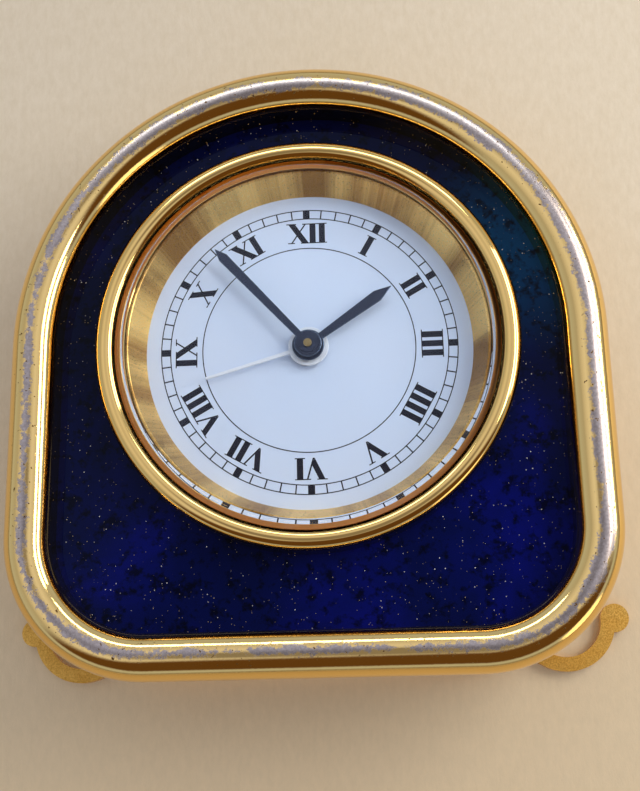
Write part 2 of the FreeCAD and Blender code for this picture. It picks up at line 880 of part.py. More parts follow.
third_pinion_phase = 0.0
centre_wheel_phase = meshing_phase(
    third_pinion_teeth, third_at, third_pinion_phase, centre_wheel_teeth, centre_at)
fourth_pinion_phase = 0.0
third_wheel_phase = meshing_phase(
    fourth_pinion_teeth, fourth_at, fourth_pinion_phase, third_wheel_teeth, third_at)
fifth_pinion_phase = 0.0
fourth_wheel_phase = meshing_phase(
    fifth_pinion_teeth, fifth_at, fifth_pinion_phase, fourth_wheel_teeth, fourth_at)
rotor_phase = 0.0
fifth_wheel_phase = meshing_phase(
    rotor_teeth, rotor_at, rotor_phase, fifth_wheel_teeth, fifth_at)
cannon_phase = 0.0
minute_wheel_phase = meshing_phase(
    cannon_teeth, centre_at, cannon_phase, minute_wheel_teeth, minute_wheel_at)
time_pinion_phase = meshing_phase(
    minute_wheel_teeth, minute_wheel_at, minute_wheel_phase, time_pinion_teeth, time_knob_at)
minute_pinion_phase = 0.0
hour_wheel_phase = meshing_phase(
    minute_pinion_teeth, minute_wheel_at, minute_pinion_phase, hour_wheel_teeth, centre_at)
alarm_wheel_phase = 0.0
alarm_setting_phase = meshing_phase(
    alarm_wheel_teeth, centre_at, alarm_wheel_phase, alarm_setting_teeth, alarm_knob_at)


def train_wheel(teeth, at, phase, level, pinion_teeth, pinion_phase):
    """Wheel, its pinion above it and their arbor, as one moulded piece."""
    wheel = toothed_disc(teeth, at, phase, level, level + wheel_thickness)
    wheel = lightened(wheel, teeth, at, wheel_hole_count, level, level + wheel_thickness)
    pinion_low = level + wheel_thickness
    pinion_high = level + wheel_step + wheel_thickness + pinion_overlap
    pinion = toothed_disc(pinion_teeth, at, pinion_phase, pinion_low, pinion_high)
    arbor = disc(arbor_radius, arbor_low, arbor_high, at)
    return join([wheel, pinion, arbor])


def fifth_wheel():
    return train_wheel(fifth_wheel_teeth, fifth_at, fifth_wheel_phase, fifth_level,
                       fifth_pinion_teeth, fifth_pinion_phase)


def fourth_wheel():
    return train_wheel(fourth_wheel_teeth, fourth_at, fourth_wheel_phase, fourth_level,
                       fourth_pinion_teeth, fourth_pinion_phase)


def third_wheel():
    return train_wheel(third_wheel_teeth, third_at, third_wheel_phase, third_level,
                       third_pinion_teeth, third_pinion_phase)


def centre_wheel():
    """Last wheel of the train, free on the minute arbor but for the clutch."""
    high = centre_level + wheel_thickness
    wheel = toothed_disc(centre_wheel_teeth, centre_at, centre_wheel_phase, centre_level, high)
    wheel = lightened(wheel, centre_wheel_teeth, centre_at, large_wheel_hole_count, centre_level,
                      high)
    hub = disc(clutch_hub_radius, centre_level - clutch_hub_extra, high + clutch_hub_extra)
    bore = disc(hour_bore, centre_level - cut_margin, high + cut_margin)
    return join([wheel, hub]).cut(bore)


def rotor_pinion():
    """Rotor's arbor and pinion."""
    pinion = toothed_disc(rotor_teeth, rotor_at, rotor_phase, fifth_level - pinion_overlap,
                          fifth_level + wheel_thickness + pinion_overlap)
    return join([pinion, disc(arbor_radius, arbor_low, arbor_high, rotor_at)])


def rotor_magnet():
    low = back_plate_top + magnet_lift
    return ring(magnet_radius, arbor_radius, low, low + magnet_height, rotor_at)


def minute_arbor():
    """Arbor of the minute hand, with the clutch shoulder and the cannon pinion."""
    shoulder_high = centre_level - clutch_hub_extra - clutch_gap
    arbor = disc(minute_arbor_radius, arbor_low, dial_z + pin_rise)
    shoulder = disc(clutch_shoulder_radius, shoulder_high - clutch_shoulder_height, shoulder_high)
    cannon = toothed_disc(cannon_teeth, centre_at, cannon_phase, cannon_z, cannon_z + cannon_height)
    return join([arbor, shoulder, cannon])


def clutch_spring():
    return ring(clutch_spring_radius, minute_arbor_radius, clutch_spring_z,
                clutch_spring_z + clutch_spring_thickness)


def minute_wheel():
    wheel = toothed_disc(minute_wheel_teeth, minute_wheel_at, minute_wheel_phase, minute_wheel_z,
                         minute_pinion_z)
    wheel = lightened(wheel, minute_wheel_teeth, minute_wheel_at, wheel_hole_count,
                      minute_wheel_z, minute_pinion_z)
    pinion = toothed_disc(minute_pinion_teeth, minute_wheel_at, minute_pinion_phase,
                          minute_pinion_z, minute_pinion_z + minute_pinion_height)
    bore = disc(post_radius + tube_fit, minute_wheel_z - cut_margin,
                minute_pinion_z + minute_pinion_height + cut_margin, minute_wheel_at)
    return join([wheel, pinion]).cut(bore)


def minute_wheel_post():
    top = minute_pinion_z + minute_pinion_height + wheel_gap / 2
    return disc(post_radius, front_plate_bottom, top, minute_wheel_at)


def hour_wheel():
    """Hour wheel with the tube that carries the hour hand."""
    wheel = toothed_disc(hour_wheel_teeth, centre_at, hour_wheel_phase, hour_wheel_z,
                         hour_wheel_z + wheel_thickness)
    tube_top = dial_z + hour_hand_rise + hand_thickness
    tube = disc(hour_tube, hour_wheel_z, tube_top)
    return join([wheel, tube]).cut(disc(hour_bore, hour_wheel_z - cut_margin, tube_top + cut_margin))


def alarm_wheel():
    """Alarm wheel with the tube that carries the alarm hand."""
    wheel = toothed_disc(alarm_wheel_teeth, centre_at, alarm_wheel_phase, alarm_wheel_z,
                         alarm_wheel_z + wheel_thickness)
    wheel = lightened(wheel, alarm_wheel_teeth, centre_at, large_wheel_hole_count, alarm_wheel_z,
                      alarm_wheel_z + wheel_thickness)
    tube_top = dial_z + alarm_hand_rise + hand_thickness
    tube = disc(alarm_tube, alarm_wheel_z, tube_top)
    return join([wheel, tube]).cut(disc(alarm_bore, alarm_wheel_z - cut_margin, tube_top + cut_margin))


# Setting shafts and knobs

def knob_low():
    return cover_z - knob_gap - knob_thickness


def time_setting_shaft():
    low = knob_low() + knob_thickness - shaft_grip
    shaft = disc(shaft_radius, low, cannon_z + cannon_height, time_knob_at)
    pinion = toothed_disc(time_pinion_teeth, time_knob_at, time_pinion_phase, cannon_z,
                          cannon_z + cannon_height)
    return join([shaft, pinion])


def alarm_setting_shaft():
    low = knob_low() + knob_thickness - shaft_grip
    high = alarm_wheel_z + wheel_thickness
    shaft = disc(shaft_radius, low, high, alarm_knob_at)
    wheel = toothed_disc(alarm_setting_teeth, alarm_knob_at, alarm_setting_phase, alarm_wheel_z,
                         high)
    return join([shaft, wheel])


def setting_knob(at):
    """Fluted knob that turns just clear of the back cover."""
    low = knob_low()
    high = low + knob_thickness
    body = disc(knob_radius, low, high, at)
    flutes = [disc(knob_flute_radius, low - cut_margin, high + cut_margin,
                   step_from(at, knob_radius, 360.0 * i / knob_flutes))
              for i in range(knob_flutes)]
    socket = disc(shaft_radius, high - shaft_grip, high + cut_margin, at)
    return body.cut(flutes + [socket])


def time_setting_knob():
    return setting_knob(time_knob_at)


def alarm_setting_knob():
    return setting_knob(alarm_knob_at)


# Movement

def pillar_points():
    return [polar(pillar_circle_radius, angle) for angle in pillar_angles]


def board_boss_points():
    inset = boss_radius
    return [(board_left + 2 * inset, board_high - inset),
            (board_right - inset, board_low + inset)]


def stator_boss_points():
    x, y = rotor_at
    return [(x - stator_half_block + boss_radius, y - stator_half_block + boss_radius),
            (coil_x - boss_radius, coil_top_y - boss_radius)]


def back_plate():
    body = disc(back_plate_radius, back_plate_bottom, back_plate_top)
    bosses = [disc(boss_radius, back_plate_top, back_plate_top + boss_height, at)
              for at in board_boss_points() + stator_boss_points()]
    body = join([body] + bosses)
    low = back_plate_bottom - cut_margin
    high = back_plate_top + cut_margin
    cuts = [disc(cup_inner_radius, low, high, battery_at)]
    cuts += [disc(arbor_radius + arbor_fit, low, high, at) for at in small_arbors]
    cuts.append(disc(minute_arbor_radius + tube_fit, low, high))
    cuts += [disc(shaft_radius + shaft_fit, low, high, at) for at in (time_knob_at, alarm_knob_at)]
    cuts += [disc(small_screw_radius + screw_fit, low, high, at) for at in pillar_points()]
    return body.cut(cuts)


def front_plate():
    body = disc(front_plate_radius, front_plate_bottom, front_plate_top)
    low = front_plate_bottom - cut_margin
    high = front_plate_top + cut_margin
    cuts = [disc(arbor_radius + arbor_fit, low, high, at) for at in small_arbors]
    cuts.append(disc(minute_arbor_radius + tube_fit, low, high))
    cuts += [disc(shaft_radius + shaft_fit, low, high, at) for at in (time_knob_at, alarm_knob_at)]
    cuts += [disc(dial_foot_radius + screw_fit, low, high, at) for at in dial_foot_points()]
    cuts.append(disc(post_radius, low, high, minute_wheel_at))
    return body.cut(cuts)


def plate_pillars():
    return group([
        ring(pillar_radius, small_screw_radius + screw_fit, back_plate_top,
             front_plate_bottom - plate_thickness, at).fuse(
            disc(pillar_radius, front_plate_bottom - plate_thickness, front_plate_bottom, at)
        ).removeSplitter()
        for at in pillar_points()])


def plate_screws():
    head_low = back_plate_bottom - small_head_height
    length = front_plate_bottom - 2 * plate_thickness - back_plate_bottom
    return group([slotted_screw(at, small_head_radius, small_head_height, small_screw_radius,
                                head_low, length) for at in pillar_points()])


def movement_holder():
    """Moulded ring that centres the movement, carries the dial and screws to the clamp ring."""
    inner = front_plate_radius + holder_fit
    lip_low = front_plate_bottom - holder_lip_thickness
    flange_low = spigot_bottom - holder_flange_thickness
    collar = ring(holder_collar_radius, inner, lip_low, dial_bottom)
    lip = ring(holder_collar_radius, inner - holder_lip_width, lip_low, front_plate_bottom)
    flange = ring(holder_flange_radius, inner, flange_low, spigot_bottom)
    body = join([collar, lip, flange])
    holes = [disc(small_screw_radius + screw_fit, flange_low - cut_margin, spigot_bottom + cut_margin, at)
             for at in holder_screw_points()]
    return body.cut(holes)


def holder_screws():
    head_low = spigot_bottom - holder_flange_thickness - small_head_height
    length = holder_flange_thickness + bezel_skirt_depth - 2 * part_gap
    return group([slotted_screw(at, small_head_radius, small_head_height, small_screw_radius,
                                head_low, length) for at in holder_screw_points()])


def stator():
    """Soft-iron plate round the rotor, with two arms that reach the coil core."""
    x, y = rotor_at
    low = stator_z
    high = stator_z + stator_thickness
    half = stator_half_block
    far = coil_x + core_width / 2
    lower_y = y - half
    rotor_block = block(x - half, x + half, lower_y, y + half, low, high)
    lower_arm = block(x, far, lower_y, lower_y + stator_arm_width, low, high)
    link = block(x + half - stator_arm_width, x + half, y, coil_top_y, low, high)
    upper_arm = block(x + half - stator_arm_width, far, coil_top_y - stator_arm_width, coil_top_y,
                      low, high)
    body = join([rotor_block, lower_arm, link, upper_arm])
    return body.cut(disc(magnet_radius + stator_gap, low - cut_margin, high + cut_margin, rotor_at))


def coil_core():
    low = stator_z + stator_thickness
    return block(coil_x - core_width / 2, coil_x + core_width / 2,
                 rotor_at[1] - stator_half_block, coil_top_y, low, low + core_thickness)


def coil_winding():
    """Winding on the core, between the two arms of the stator."""
    middle = stator_z + stator_thickness + core_thickness / 2
    low_y = rotor_at[1] - stator_half_block + stator_arm_width + coil_end_gap
    high_y = coil_top_y - stator_arm_width - coil_end_gap
    body = Part.makeCylinder(coil_radius, high_y - low_y, vector(coil_x, low_y, middle),
                             vector(0, 1, 0))
    slot = block(coil_x - core_width / 2, coil_x + core_width / 2, low_y - cut_margin, high_y + cut_margin,
                 middle - core_thickness / 2, middle + core_thickness / 2)
    return body.cut(slot)


def board_top():
    return back_plate_top + boss_height + board_thickness


def circuit_board():
    low = back_plate_top + boss_height
    return rounded_plate([(board_left, board_low), (board_right, board_low),
                          (board_right, board_high), (board_left, board_high)],
                         [board_corner_radius] * 4, low, low + board_thickness)


def circuit_chip():
    half = chip_side / 2
    return block(chip_x - half, chip_x + half, chip_y - half, chip_y + half, board_top(),
                 board_top() + chip_height)


def quartz_can():
    """Small tube that holds the quartz resonator, lying on the board."""
    return Part.makeCylinder(can_radius, can_length,
                             vector(can_x, can_y - can_length / 2, board_top() + can_radius),
                             vector(0, 1, 0))


def alarm_contact_leaf():
    """Springy strip under the alarm wheel, on a foot that stands on the front plate."""
    top = alarm_wheel_z - wheel_gap
    half = leaf_width / 2
    foot = block(-half, half, leaf_root_y - leaf_base_length, leaf_root_y, front_plate_top, top)
    strip = block(-half, half, leaf_root_y, leaf_end_y, top - leaf_thickness, top)
    return join([foot, strip])


def buzzer_disc():
    """Thin metal disc with a ceramic element, on the inside of the cover."""
    plate = disc(buzzer_radius, band_z, band_z + buzzer_thickness, buzzer_at)
    element = disc(buzzer_element_radius, band_z + buzzer_thickness,
                   band_z + 2 * buzzer_thickness, buzzer_at)
    return join([plate, element])


# Battery, contacts and hatch

def battery():
    """Button cell standing on its wide face."""
    top = battery_z + battery_height
    can = disc(battery_radius, battery_z, top - battery_cap_height, battery_at)
    cap = disc(battery_cap_radius, top - battery_cap_height, top, battery_at)
    return join([can, cap])


def battery_cup():
    """Moulded cup that stands on the back plate over the cell."""
    roof_z = battery_z + battery_height + contact_thickness
    wall = ring(cup_outer_radius, cup_inner_radius, back_plate_top, roof_z, battery_at)
    roof = disc(cup_outer_radius, roof_z, roof_z + cup_roof, battery_at)
    return join([wall, roof])


def negative_contact():
    low = battery_z + battery_height
    half = contact_width / 2
    reach = negative_contact_length / 2
    return block(-half, half, battery_y - reach, battery_y + reach, low, low + contact_thickness)


def positive_contact():
    """Strip between the side of the cell and the cup."""
    middle = battery_radius + cup_play / 2
    half = contact_width / 2
    strip = ring(middle + contact_thickness / 2, middle - contact_thickness / 2,
                 back_plate_bottom, back_plate_bottom + positive_contact_height, battery_at)
    window = block(0, cup_outer_radius, battery_y - half, battery_y + half, back_plate_bottom,
                   back_plate_bottom + positive_contact_height)
    return strip.common(window)


def hatch_sector(middle, half_angle, radius, low, high):
    """Wedge of a disc about the hatch axis."""
    body = Part.makeCylinder(radius, high - low, vector(0, battery_y, low), vector(0, 0, 1),
                             2 * half_angle)
    body.rotate(vector(0, battery_y, 0), vector(0, 0, 1), middle - half_angle)
    return body


def battery_hatch():
    """Coin-turned lid: a flange outside, a plug in the hole and two lugs inside."""
    flange_low = cover_z - hatch_flange_thickness
    lug_low = band_z + lug_gap
    lug_high = lug_low + lug_thickness
    flange = disc(hatch_flange_radius, flange_low, cover_z, battery_at)
    plug = disc(hatch_plug_radius, cover_z, lug_high, battery_at)
    lugs = [hatch_sector(side, lug_half_angle, hatch_plug_radius + lug_reach, lug_low, lug_high)
            for side in (0.0, 180.0)]
    slot = block(-coin_slot_length / 2, coin_slot_length / 2, battery_y - coin_slot_width / 2,
                 battery_y + coin_slot_width / 2, flange_low, flange_low + coin_slot_depth)
    return join([flange, plug] + lugs).cut(slot)


# Alarm switch

def alarm_switch_slider():
    """Ribbed cap outside, a stem through the slot and a foot inside."""
    cap_high = cover_z - switch_cap_gap
    cap_low = cap_high - switch_cap_thickness
    foot_low = band_z + switch_play
    cap = block(-switch_cap_length / 2, switch_cap_length / 2, switch_y - switch_cap_width / 2,
                switch_y + switch_cap_width / 2, cap_low, cap_high)
    stem = block(-switch_stem_length / 2, switch_stem_length / 2,
                 switch_y - switch_stem_width / 2, switch_y + switch_stem_width / 2,
                 cap_high, foot_low)
    foot = block(-switch_foot_length / 2, switch_foot_length / 2,
                 switch_y - switch_foot_width / 2, switch_y + switch_foot_width / 2,
                 foot_low, foot_low + switch_foot_thickness)
    pitch = switch_cap_length / (switch_rib_count + 1)
    grooves = []
    for i in range(switch_rib_count):
        x = -switch_cap_length / 2 + pitch * (i + 1)
        grooves.append(block(x - switch_rib_width / 2, x + switch_rib_width / 2,
                             switch_y - switch_cap_width, switch_y + switch_cap_width,
                             cap_low, cap_low + switch_rib_width))
    return join([cap, stem, foot]).cut(grooves)


def alarm_switch_box():
    """Housing inside the cover that guides the foot of the slider."""
    half_length = switch_foot_length / 2 + switch_play
    half_width = switch_foot_width / 2 + switch_play
    wall = switch_box_wall
    outer = block(-half_length - wall, half_length + switch_travel + wall,
                  switch_y - half_width - wall, switch_y + half_width + wall,
                  band_z, band_z + switch_box_height)
    inner = block(-half_length, half_length + switch_travel, switch_y - half_width,
                  switch_y + half_width, band_z - cut_margin, band_z + switch_box_height - wall)
    return outer.cut(inner)


# Hinge and legs

def knuckle_spans():
    """Stretches along the hinge: even ones belong to the hinge plate, odd ones to the leg."""
    length = (hinge_high_y - hinge_low_y) / knuckle_count
    return [(hinge_low_y + i * length, hinge_low_y + (i + 1) * length)
            for i in range(knuckle_count)]


def barrel(side, low_y, high_y, radius):
    return Part.makeCylinder(radius, high_y - low_y,
                             vector(side * hinge_x, low_y, hinge_radius), vector(0, 1, 0))


def knuckle_web(side, low_y, high_y, inward):
    """Solid between a barrel and the plate it belongs to, flat on the resting plane."""
    x_plate = hinge_x - hinge_reach if inward else leg_inner_x
    x0 = min(side * hinge_x, side * x_plate)
    x1 = max(side * hinge_x, side * x_plate)
    return block(x0, x1, low_y, high_y, 0, leg_thickness)


def hinge_plate():
    """Brass plate on the back that carries both hinges and is the flat the clock rests on."""
    half = hinge_x - hinge_reach
    low_y = hinge_plate_low_y
    high_y = hinge_plate_high_y
    body = rounded_plate([(-half, low_y), (half, low_y), (half, high_y), (-half, high_y)],
                         [hinge_plate_corner] * 4, 0, cover_z)
    pieces = [body]
    bores = []
    for side in (-1, 1):
        for low, high in knuckle_spans()[::2]:
            pieces.append(barrel(side, low, high, hinge_radius))
            pieces.append(knuckle_web(side, low, high, True))
        bores.append(barrel(side, hinge_low_y - cut_margin, hinge_high_y + cut_margin, hinge_pin_radius))
    body = join(pieces)
    for y in hinge_screw_y:
        bores.append(disc(screw_radius + screw_fit, -1.0, cover_z + cut_margin, (0.0, y)))
        bores.append(disc(screw_head_radius + part_gap, -1.0, part_gap + screw_head_height,
                          (0.0, y)))
    return body.cut(bores)


def hinge_plate_screws():
    length = cover_z + cover_thickness - part_gap - screw_head_height
    return group([slotted_screw((0.0, y), screw_head_radius, screw_head_height, screw_radius,
                                part_gap, length) for y in hinge_screw_y])


def hinge_pins():
    return group([barrel(side, hinge_low_y, hinge_high_y, hinge_pin_radius) for side in (-1, 1)])


def leg_hook(side):
    """Round hook that stands out past the lower corner of the case."""
    outer = hook_inner_radius + hook_width
    at = (side * hook_x, hook_y)
    sweep = 180.0 + hook_end_angle
    band = ring(outer, hook_inner_radius, 0, leg_thickness, at)
    keep = Part.makeCylinder(2 * outer, leg_thickness, vector(at[0], at[1], 0), vector(0, 0, 1),
                             sweep)
    keep.rotate(vector(at[0], at[1], 0), vector(0, 0, 1),
                180.0 if side > 0 else 360.0 - sweep)
    end_angle = hook_end_angle if side > 0 else 180.0 - hook_end_angle
    end_at = step_from(at, hook_inner_radius + hook_end_radius, end_angle)
    end = disc(hook_end_radius, 0, leg_thickness, end_at)
    return [band.common(keep), end]


def leg(side):
    """Folding leg: a plate on the hinge that runs down to the hook."""
    edge_x = hook_x - hook_inner_radius
    heel_x = hook_x - hook_inner_radius - hook_width
    points = [(leg_inner_x, hinge_low_y), (leg_inner_x, hinge_high_y),
              (leg_shoulder_x, hinge_high_y),
              (edge_x, leg_shoulder_y), (edge_x, hook_y), (heel_x, hook_y),
              (heel_x - leg_corner_round, hinge_low_y)]
    radii = [leg_small_round, leg_small_round, leg_corner_round, leg_corner_round, 0, 0,
             leg_corner_round / 2]
    mirrored = [(side * x, y) for x, y in points]
    plate = rounded_plate(mirrored, radii, 0, leg_thickness)
    pieces = [plate] + leg_hook(side)
    for low, high in knuckle_spans()[1::2]:
        pieces.append(barrel(side, low + knuckle_gap, high - knuckle_gap, hinge_radius))
        pieces.append(knuckle_web(side, low + knuckle_gap, high - knuckle_gap, False))
    body = join(pieces)
    return body.cut(barrel(side, hinge_low_y - cut_margin, hinge_high_y + cut_margin,
                           hinge_pin_radius + hinge_fit))


def left_leg():
    return leg(-1)


def right_leg():
    return leg(1)


def rest_pads():
    return group([disc(pad_radius, 0, cover_z, (side * pad_x, pad_y)) for side in (-1, 1)])


node_makers = [
    rim_frame, case_band, face_panel, back_cover, cover_screws, frame_screws,
    bezel, bezel_clamp_ring, crystal, crystal_gasket, flange_ring, dial,
    minute_hand, hour_hand, alarm_hand, hand_cap,
    minute_arbor, clutch_spring, centre_wheel, third_wheel, fourth_wheel, fifth_wheel,
    rotor_pinion, rotor_magnet, minute_wheel, minute_wheel_post, hour_wheel, alarm_wheel,
    time_setting_shaft, time_setting_knob, alarm_setting_shaft, alarm_setting_knob,
    back_plate, front_plate, plate_pillars, plate_screws, movement_holder, holder_screws,
    stator, coil_core, coil_winding, circuit_board, circuit_chip, quartz_can,
    alarm_contact_leaf, buzzer_disc, battery, battery_cup, negative_contact, positive_contact,
    battery_hatch, alarm_switch_slider, alarm_switch_box,
    hinge_plate, hinge_plate_screws, hinge_pins, left_leg, right_leg, rest_pads,
]

os.makedirs("parts", exist_ok=True)
for maker in node_makers:
    shape = maker()
    name = maker.__name__
    shape.exportStep("parts/" + name + ".step")
    state = "valid" if all(solid.isValid() for solid in shape.Solids) else "not valid"
    print(name, len(shape.Solids), "solids", round(shape.Volume, 3), "mm3", state)
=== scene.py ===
import json
import math

import bpy
from bpy.props import FloatProperty, FloatVectorProperty, IntProperty, PointerProperty
from mathutils import Euler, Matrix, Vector


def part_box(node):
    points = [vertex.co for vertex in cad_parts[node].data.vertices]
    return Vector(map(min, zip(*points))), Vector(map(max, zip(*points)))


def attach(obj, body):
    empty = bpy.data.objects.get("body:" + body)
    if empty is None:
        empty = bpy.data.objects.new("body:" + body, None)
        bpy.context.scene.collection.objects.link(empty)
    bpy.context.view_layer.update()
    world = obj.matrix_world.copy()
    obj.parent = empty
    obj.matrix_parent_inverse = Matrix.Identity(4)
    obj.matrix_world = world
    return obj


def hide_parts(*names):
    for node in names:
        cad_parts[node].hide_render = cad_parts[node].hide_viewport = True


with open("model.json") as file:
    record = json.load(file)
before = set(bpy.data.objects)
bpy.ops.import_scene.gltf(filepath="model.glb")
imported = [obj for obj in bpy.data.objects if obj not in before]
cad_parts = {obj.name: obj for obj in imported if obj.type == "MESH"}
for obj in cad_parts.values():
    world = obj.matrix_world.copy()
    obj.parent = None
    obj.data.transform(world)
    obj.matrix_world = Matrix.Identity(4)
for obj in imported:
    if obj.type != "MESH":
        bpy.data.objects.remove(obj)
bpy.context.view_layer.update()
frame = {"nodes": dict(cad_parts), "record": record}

bl_info = {
    "name": "Round-topped desk alarm clock",
    "version": (1, 0, 0),
    "blender": (4, 5, 0),
    "location": "View3D > Sidebar > Clock",
    "description": "Dresses the CAD frame of a small gold and lacquer desk alarm clock",
    "category": "Add Mesh",
}

MM = 0.001
TURN_STEPS = 192
SMOOTH_ANGLE = 30


def linear(hex_colour):
    """sRGB hex as linear RGB with alpha 1."""
    channels = [int(hex_colour[i:i + 2], 16) / 255 for i in (0, 2, 4)]
    return tuple(c / 12.92 if c <= 0.04045 else ((c + 0.055) / 1.055) ** 2.4
                 for c in channels) + (1.0,)


def colour_property(name, description, hex_colour):
    return FloatVectorProperty(name=name, description=description, subtype="COLOR", size=4,
                               min=0.0, max=1.0, default=linear(hex_colour))


def length_property(name, description, millimetres):
    return FloatProperty(name=name, description=description, default=millimetres * MM,
                         unit="LENGTH")


class ClockCaseSizes(bpy.types.PropertyGroup):
    corner_radius: length_property("Corner radius", "Outer radius of the lower corners", 20.0)
    bead_radius: length_property("Bead radius", "Radius of the round bead of the frame", 3.2)
    seam_groove: length_property("Seam groove", "Width of the groove between frame and band", 0.25)
    panel_play: length_property("Panel play", "Gap between the panel and the frame's skirt", 0.1)
    bezel_bead: length_property("Bezel bead", "Radius of the bead on the bezel", 1.5)
    bezel_bore: length_property("Bezel bore", "Inner radius of the bezel's seat", 26.2)
    bezel_edge: length_property("Bezel edge", "Width of the broken edge of the bezel's seat", 0.12)
    spigot_step: length_property("Spigot step", "How far the spigot lies inside the bezel", 1.9)
    crystal_bevel: length_property("Crystal bevel", "Width of the bevel round the crystal", 1.1)
    crystal_edge: length_property("Crystal edge", "Height of the crystal's upright edge", 0.12)
    crystal_round: length_property("Crystal round", "Broken lower edge of the crystal", 0.06)
    crystal_play: length_property("Crystal play", "Gap between the crystal and the bezel", 0.02)
    flange_foot: length_property("Flange foot", "Radius where the flange meets the dial", 23.9)
    flange_land: length_property("Flange land", "Width of the level top of the flange", 0.3)
    flange_break: length_property("Flange break", "Width of the broken edge of its top", 0.08)
    flange_drop: length_property("Flange drop", "Depth of the broken edge of its top", 0.05)


class ClockDialSizes(bpy.types.PropertyGroup):
    print_lift: length_property("Print lift", "Height of the ink over the enamel", 0.015)
    inner_circle: length_property("Inner circle", "Radius of the thin circle inside the numerals", 15.6)
    numeral_foot: length_property("Numeral foot", "Radius at the feet of the numerals", 16.4)
    numeral_head: length_property("Numeral head", "Radius at the heads of the numerals", 19.6)
    track_inner: length_property("Track inside", "Inner radius of the minute track", 20.35)
    track_outer: length_property("Track outside", "Outer radius of the minute track", 21.7)
    hair_line: length_property("Hair line", "Width of the thin printed lines", 0.15)
    tick_line: length_property("Tick line", "Width of a minute tick", 0.19)
    hour_block: length_property("Hour block", "Width of an hour block in the track", 1.0)
    stem_width: length_property("Stem width", "Width of a thick stroke of a numeral", 0.90)
    stem_pitch: length_property("Stem pitch", "Distance between strokes side by side", 1.40)
    letter_spread: length_property("Letter spread", "Width of a V or an X at its open end", 2.15)
    minutes: IntProperty(name="Minutes", description="Ticks in the minute track", default=60)


class ClockHandSizes(bpy.types.PropertyGroup):
    minute_angle: FloatProperty(name="Minute hand", description="Clockwise from twelve",
                                default=math.radians(318.2), subtype="ANGLE")
    hour_angle: FloatProperty(name="Hour hand", description="Clockwise from twelve",
                              default=math.radians(55.2), subtype="ANGLE")
    alarm_angle: FloatProperty(name="Alarm hand", description="Clockwise from twelve",
                               default=math.radians(253.9), subtype="ANGLE")
    edge_bevel: length_property("Edge bevel", "Width of the bevelled edge of a hand", 0.09)
    minute_hub: length_property("Minute hub", "Radius of the minute hand's hub", 2.0)
    minute_root: length_property("Minute root", "Half width of the minute hand at its hub", 0.52)
    minute_root_at: length_property("Minute root at", "Where the minute hand leaves its hub", 2.2)
    minute_shoulder: length_property("Minute shoulder", "Half width before its point", 0.75)
    minute_shoulder_at: length_property("Minute shoulder at", "Where its point begins", 18.5)
    minute_tip: length_property("Minute tip", "Length of the minute hand from the axis", 20.4)
    hour_hub: length_property("Hour hub", "Radius of the hour hand's hub", 2.35)
    hour_root: length_property("Hour root", "Half width of the hour hand at its hub", 0.55)
    hour_root_at: length_property("Hour root at", "Where the hour hand leaves its hub", 2.5)
    hour_shoulder: length_property("Hour shoulder", "Half width before its point", 0.9)
    hour_shoulder_at: length_property("Hour shoulder at", "Where its point begins", 12.5)
    hour_tip: length_property("Hour tip", "Length of the hour hand from the axis", 15.1)
    alarm_hub: length_property("Alarm hub", "Radius of the alarm hand's hub", 2.95)
    alarm_root: length_property("Alarm root", "Half width of the alarm hand at its hub", 0.30)
    alarm_root_at: length_property("Alarm root at", "Where the alarm hand leaves its hub", 3.1)
    alarm_end: length_property("Alarm end", "Half width of the alarm hand's blunt end", 0.21)
    alarm_tip: length_property("Alarm tip", "Length of the alarm hand from the axis", 15.7)


class ClockFinishes(bpy.types.PropertyGroup):
    gold: colour_property("Gold plate", "Polished gold plating", "F2CB7E")
    worn_metal: colour_property("Worn metal", "Plated metal where the gold has gone", "A9A1A3")
    satin_gold: colour_property("Satin gold", "Gold plating over blasted brass", "FFD070")
    lacquer: colour_property("Lacquer", "Deep blue lacquer", "02082C")
    lacquer_cloud: colour_property("Lacquer cloud", "Cobalt clouds in the lacquer", "060C66")
    enamel: colour_property("Dial enamel", "White enamel of the dial", "CBDCF4")
    ink: colour_property("Ink", "Print on the dial", "17151F")
    blued: colour_property("Hands", "Slate blue of the hands", "1E2438")
    silver: colour_property("Alarm hand", "Silver paint of the alarm hand", "D3DCE8")
    paper: colour_property("Paper", "Sheet that the clock lies on", "E6D9C2")


class ClockStageSettings(bpy.types.PropertyGroup):
    focal_length: FloatProperty(name="Focal length", description="Camera lens in millimetres",
                                default=54.61)
    camera_place: FloatVectorProperty(name="Camera place", description="Where the camera stands",
                                      default=(0.010679, -0.053011, 0.185639), unit="LENGTH")
    camera_turn: FloatVectorProperty(
        name="Camera turn", description="Tilt, lean and roll of the camera", subtype="EULER",
        default=(math.radians(15.236), math.radians(3.484), math.radians(-1.210)))
    key_power: FloatProperty(name="Key power", description="Watts of each pane of the window",
                             default=0.38)
    sky_power: FloatProperty(name="Sky power", description="Watts of the pale strip overhead",
                             default=0.07)
    under_power: FloatProperty(name="Under power", description="Watts of the lamp for the back",
                               default=2.0)
    pane_width: length_property("Pane width", "Width of a pane of the window", 260.0)
    pane_height: length_property("Pane height", "Height of a pane of the window", 70.0)
    aim_height: length_property("Aim height", "Height that the lamps point at", 20.0)
    room_light: FloatProperty(name="Room light", description="Strength of the light from the room",
                              default=2.1)
    paper_size: length_property("Paper size", "Side of the sheet", 4000.0)


GROUPS = {
    "clock_case": ClockCaseSizes,
    "clock_dial": ClockDialSizes,
    "clock_hands": ClockHandSizes,
    "clock_finishes": ClockFinishes,
    "clock_stage": ClockStageSettings,
}


# Meshes

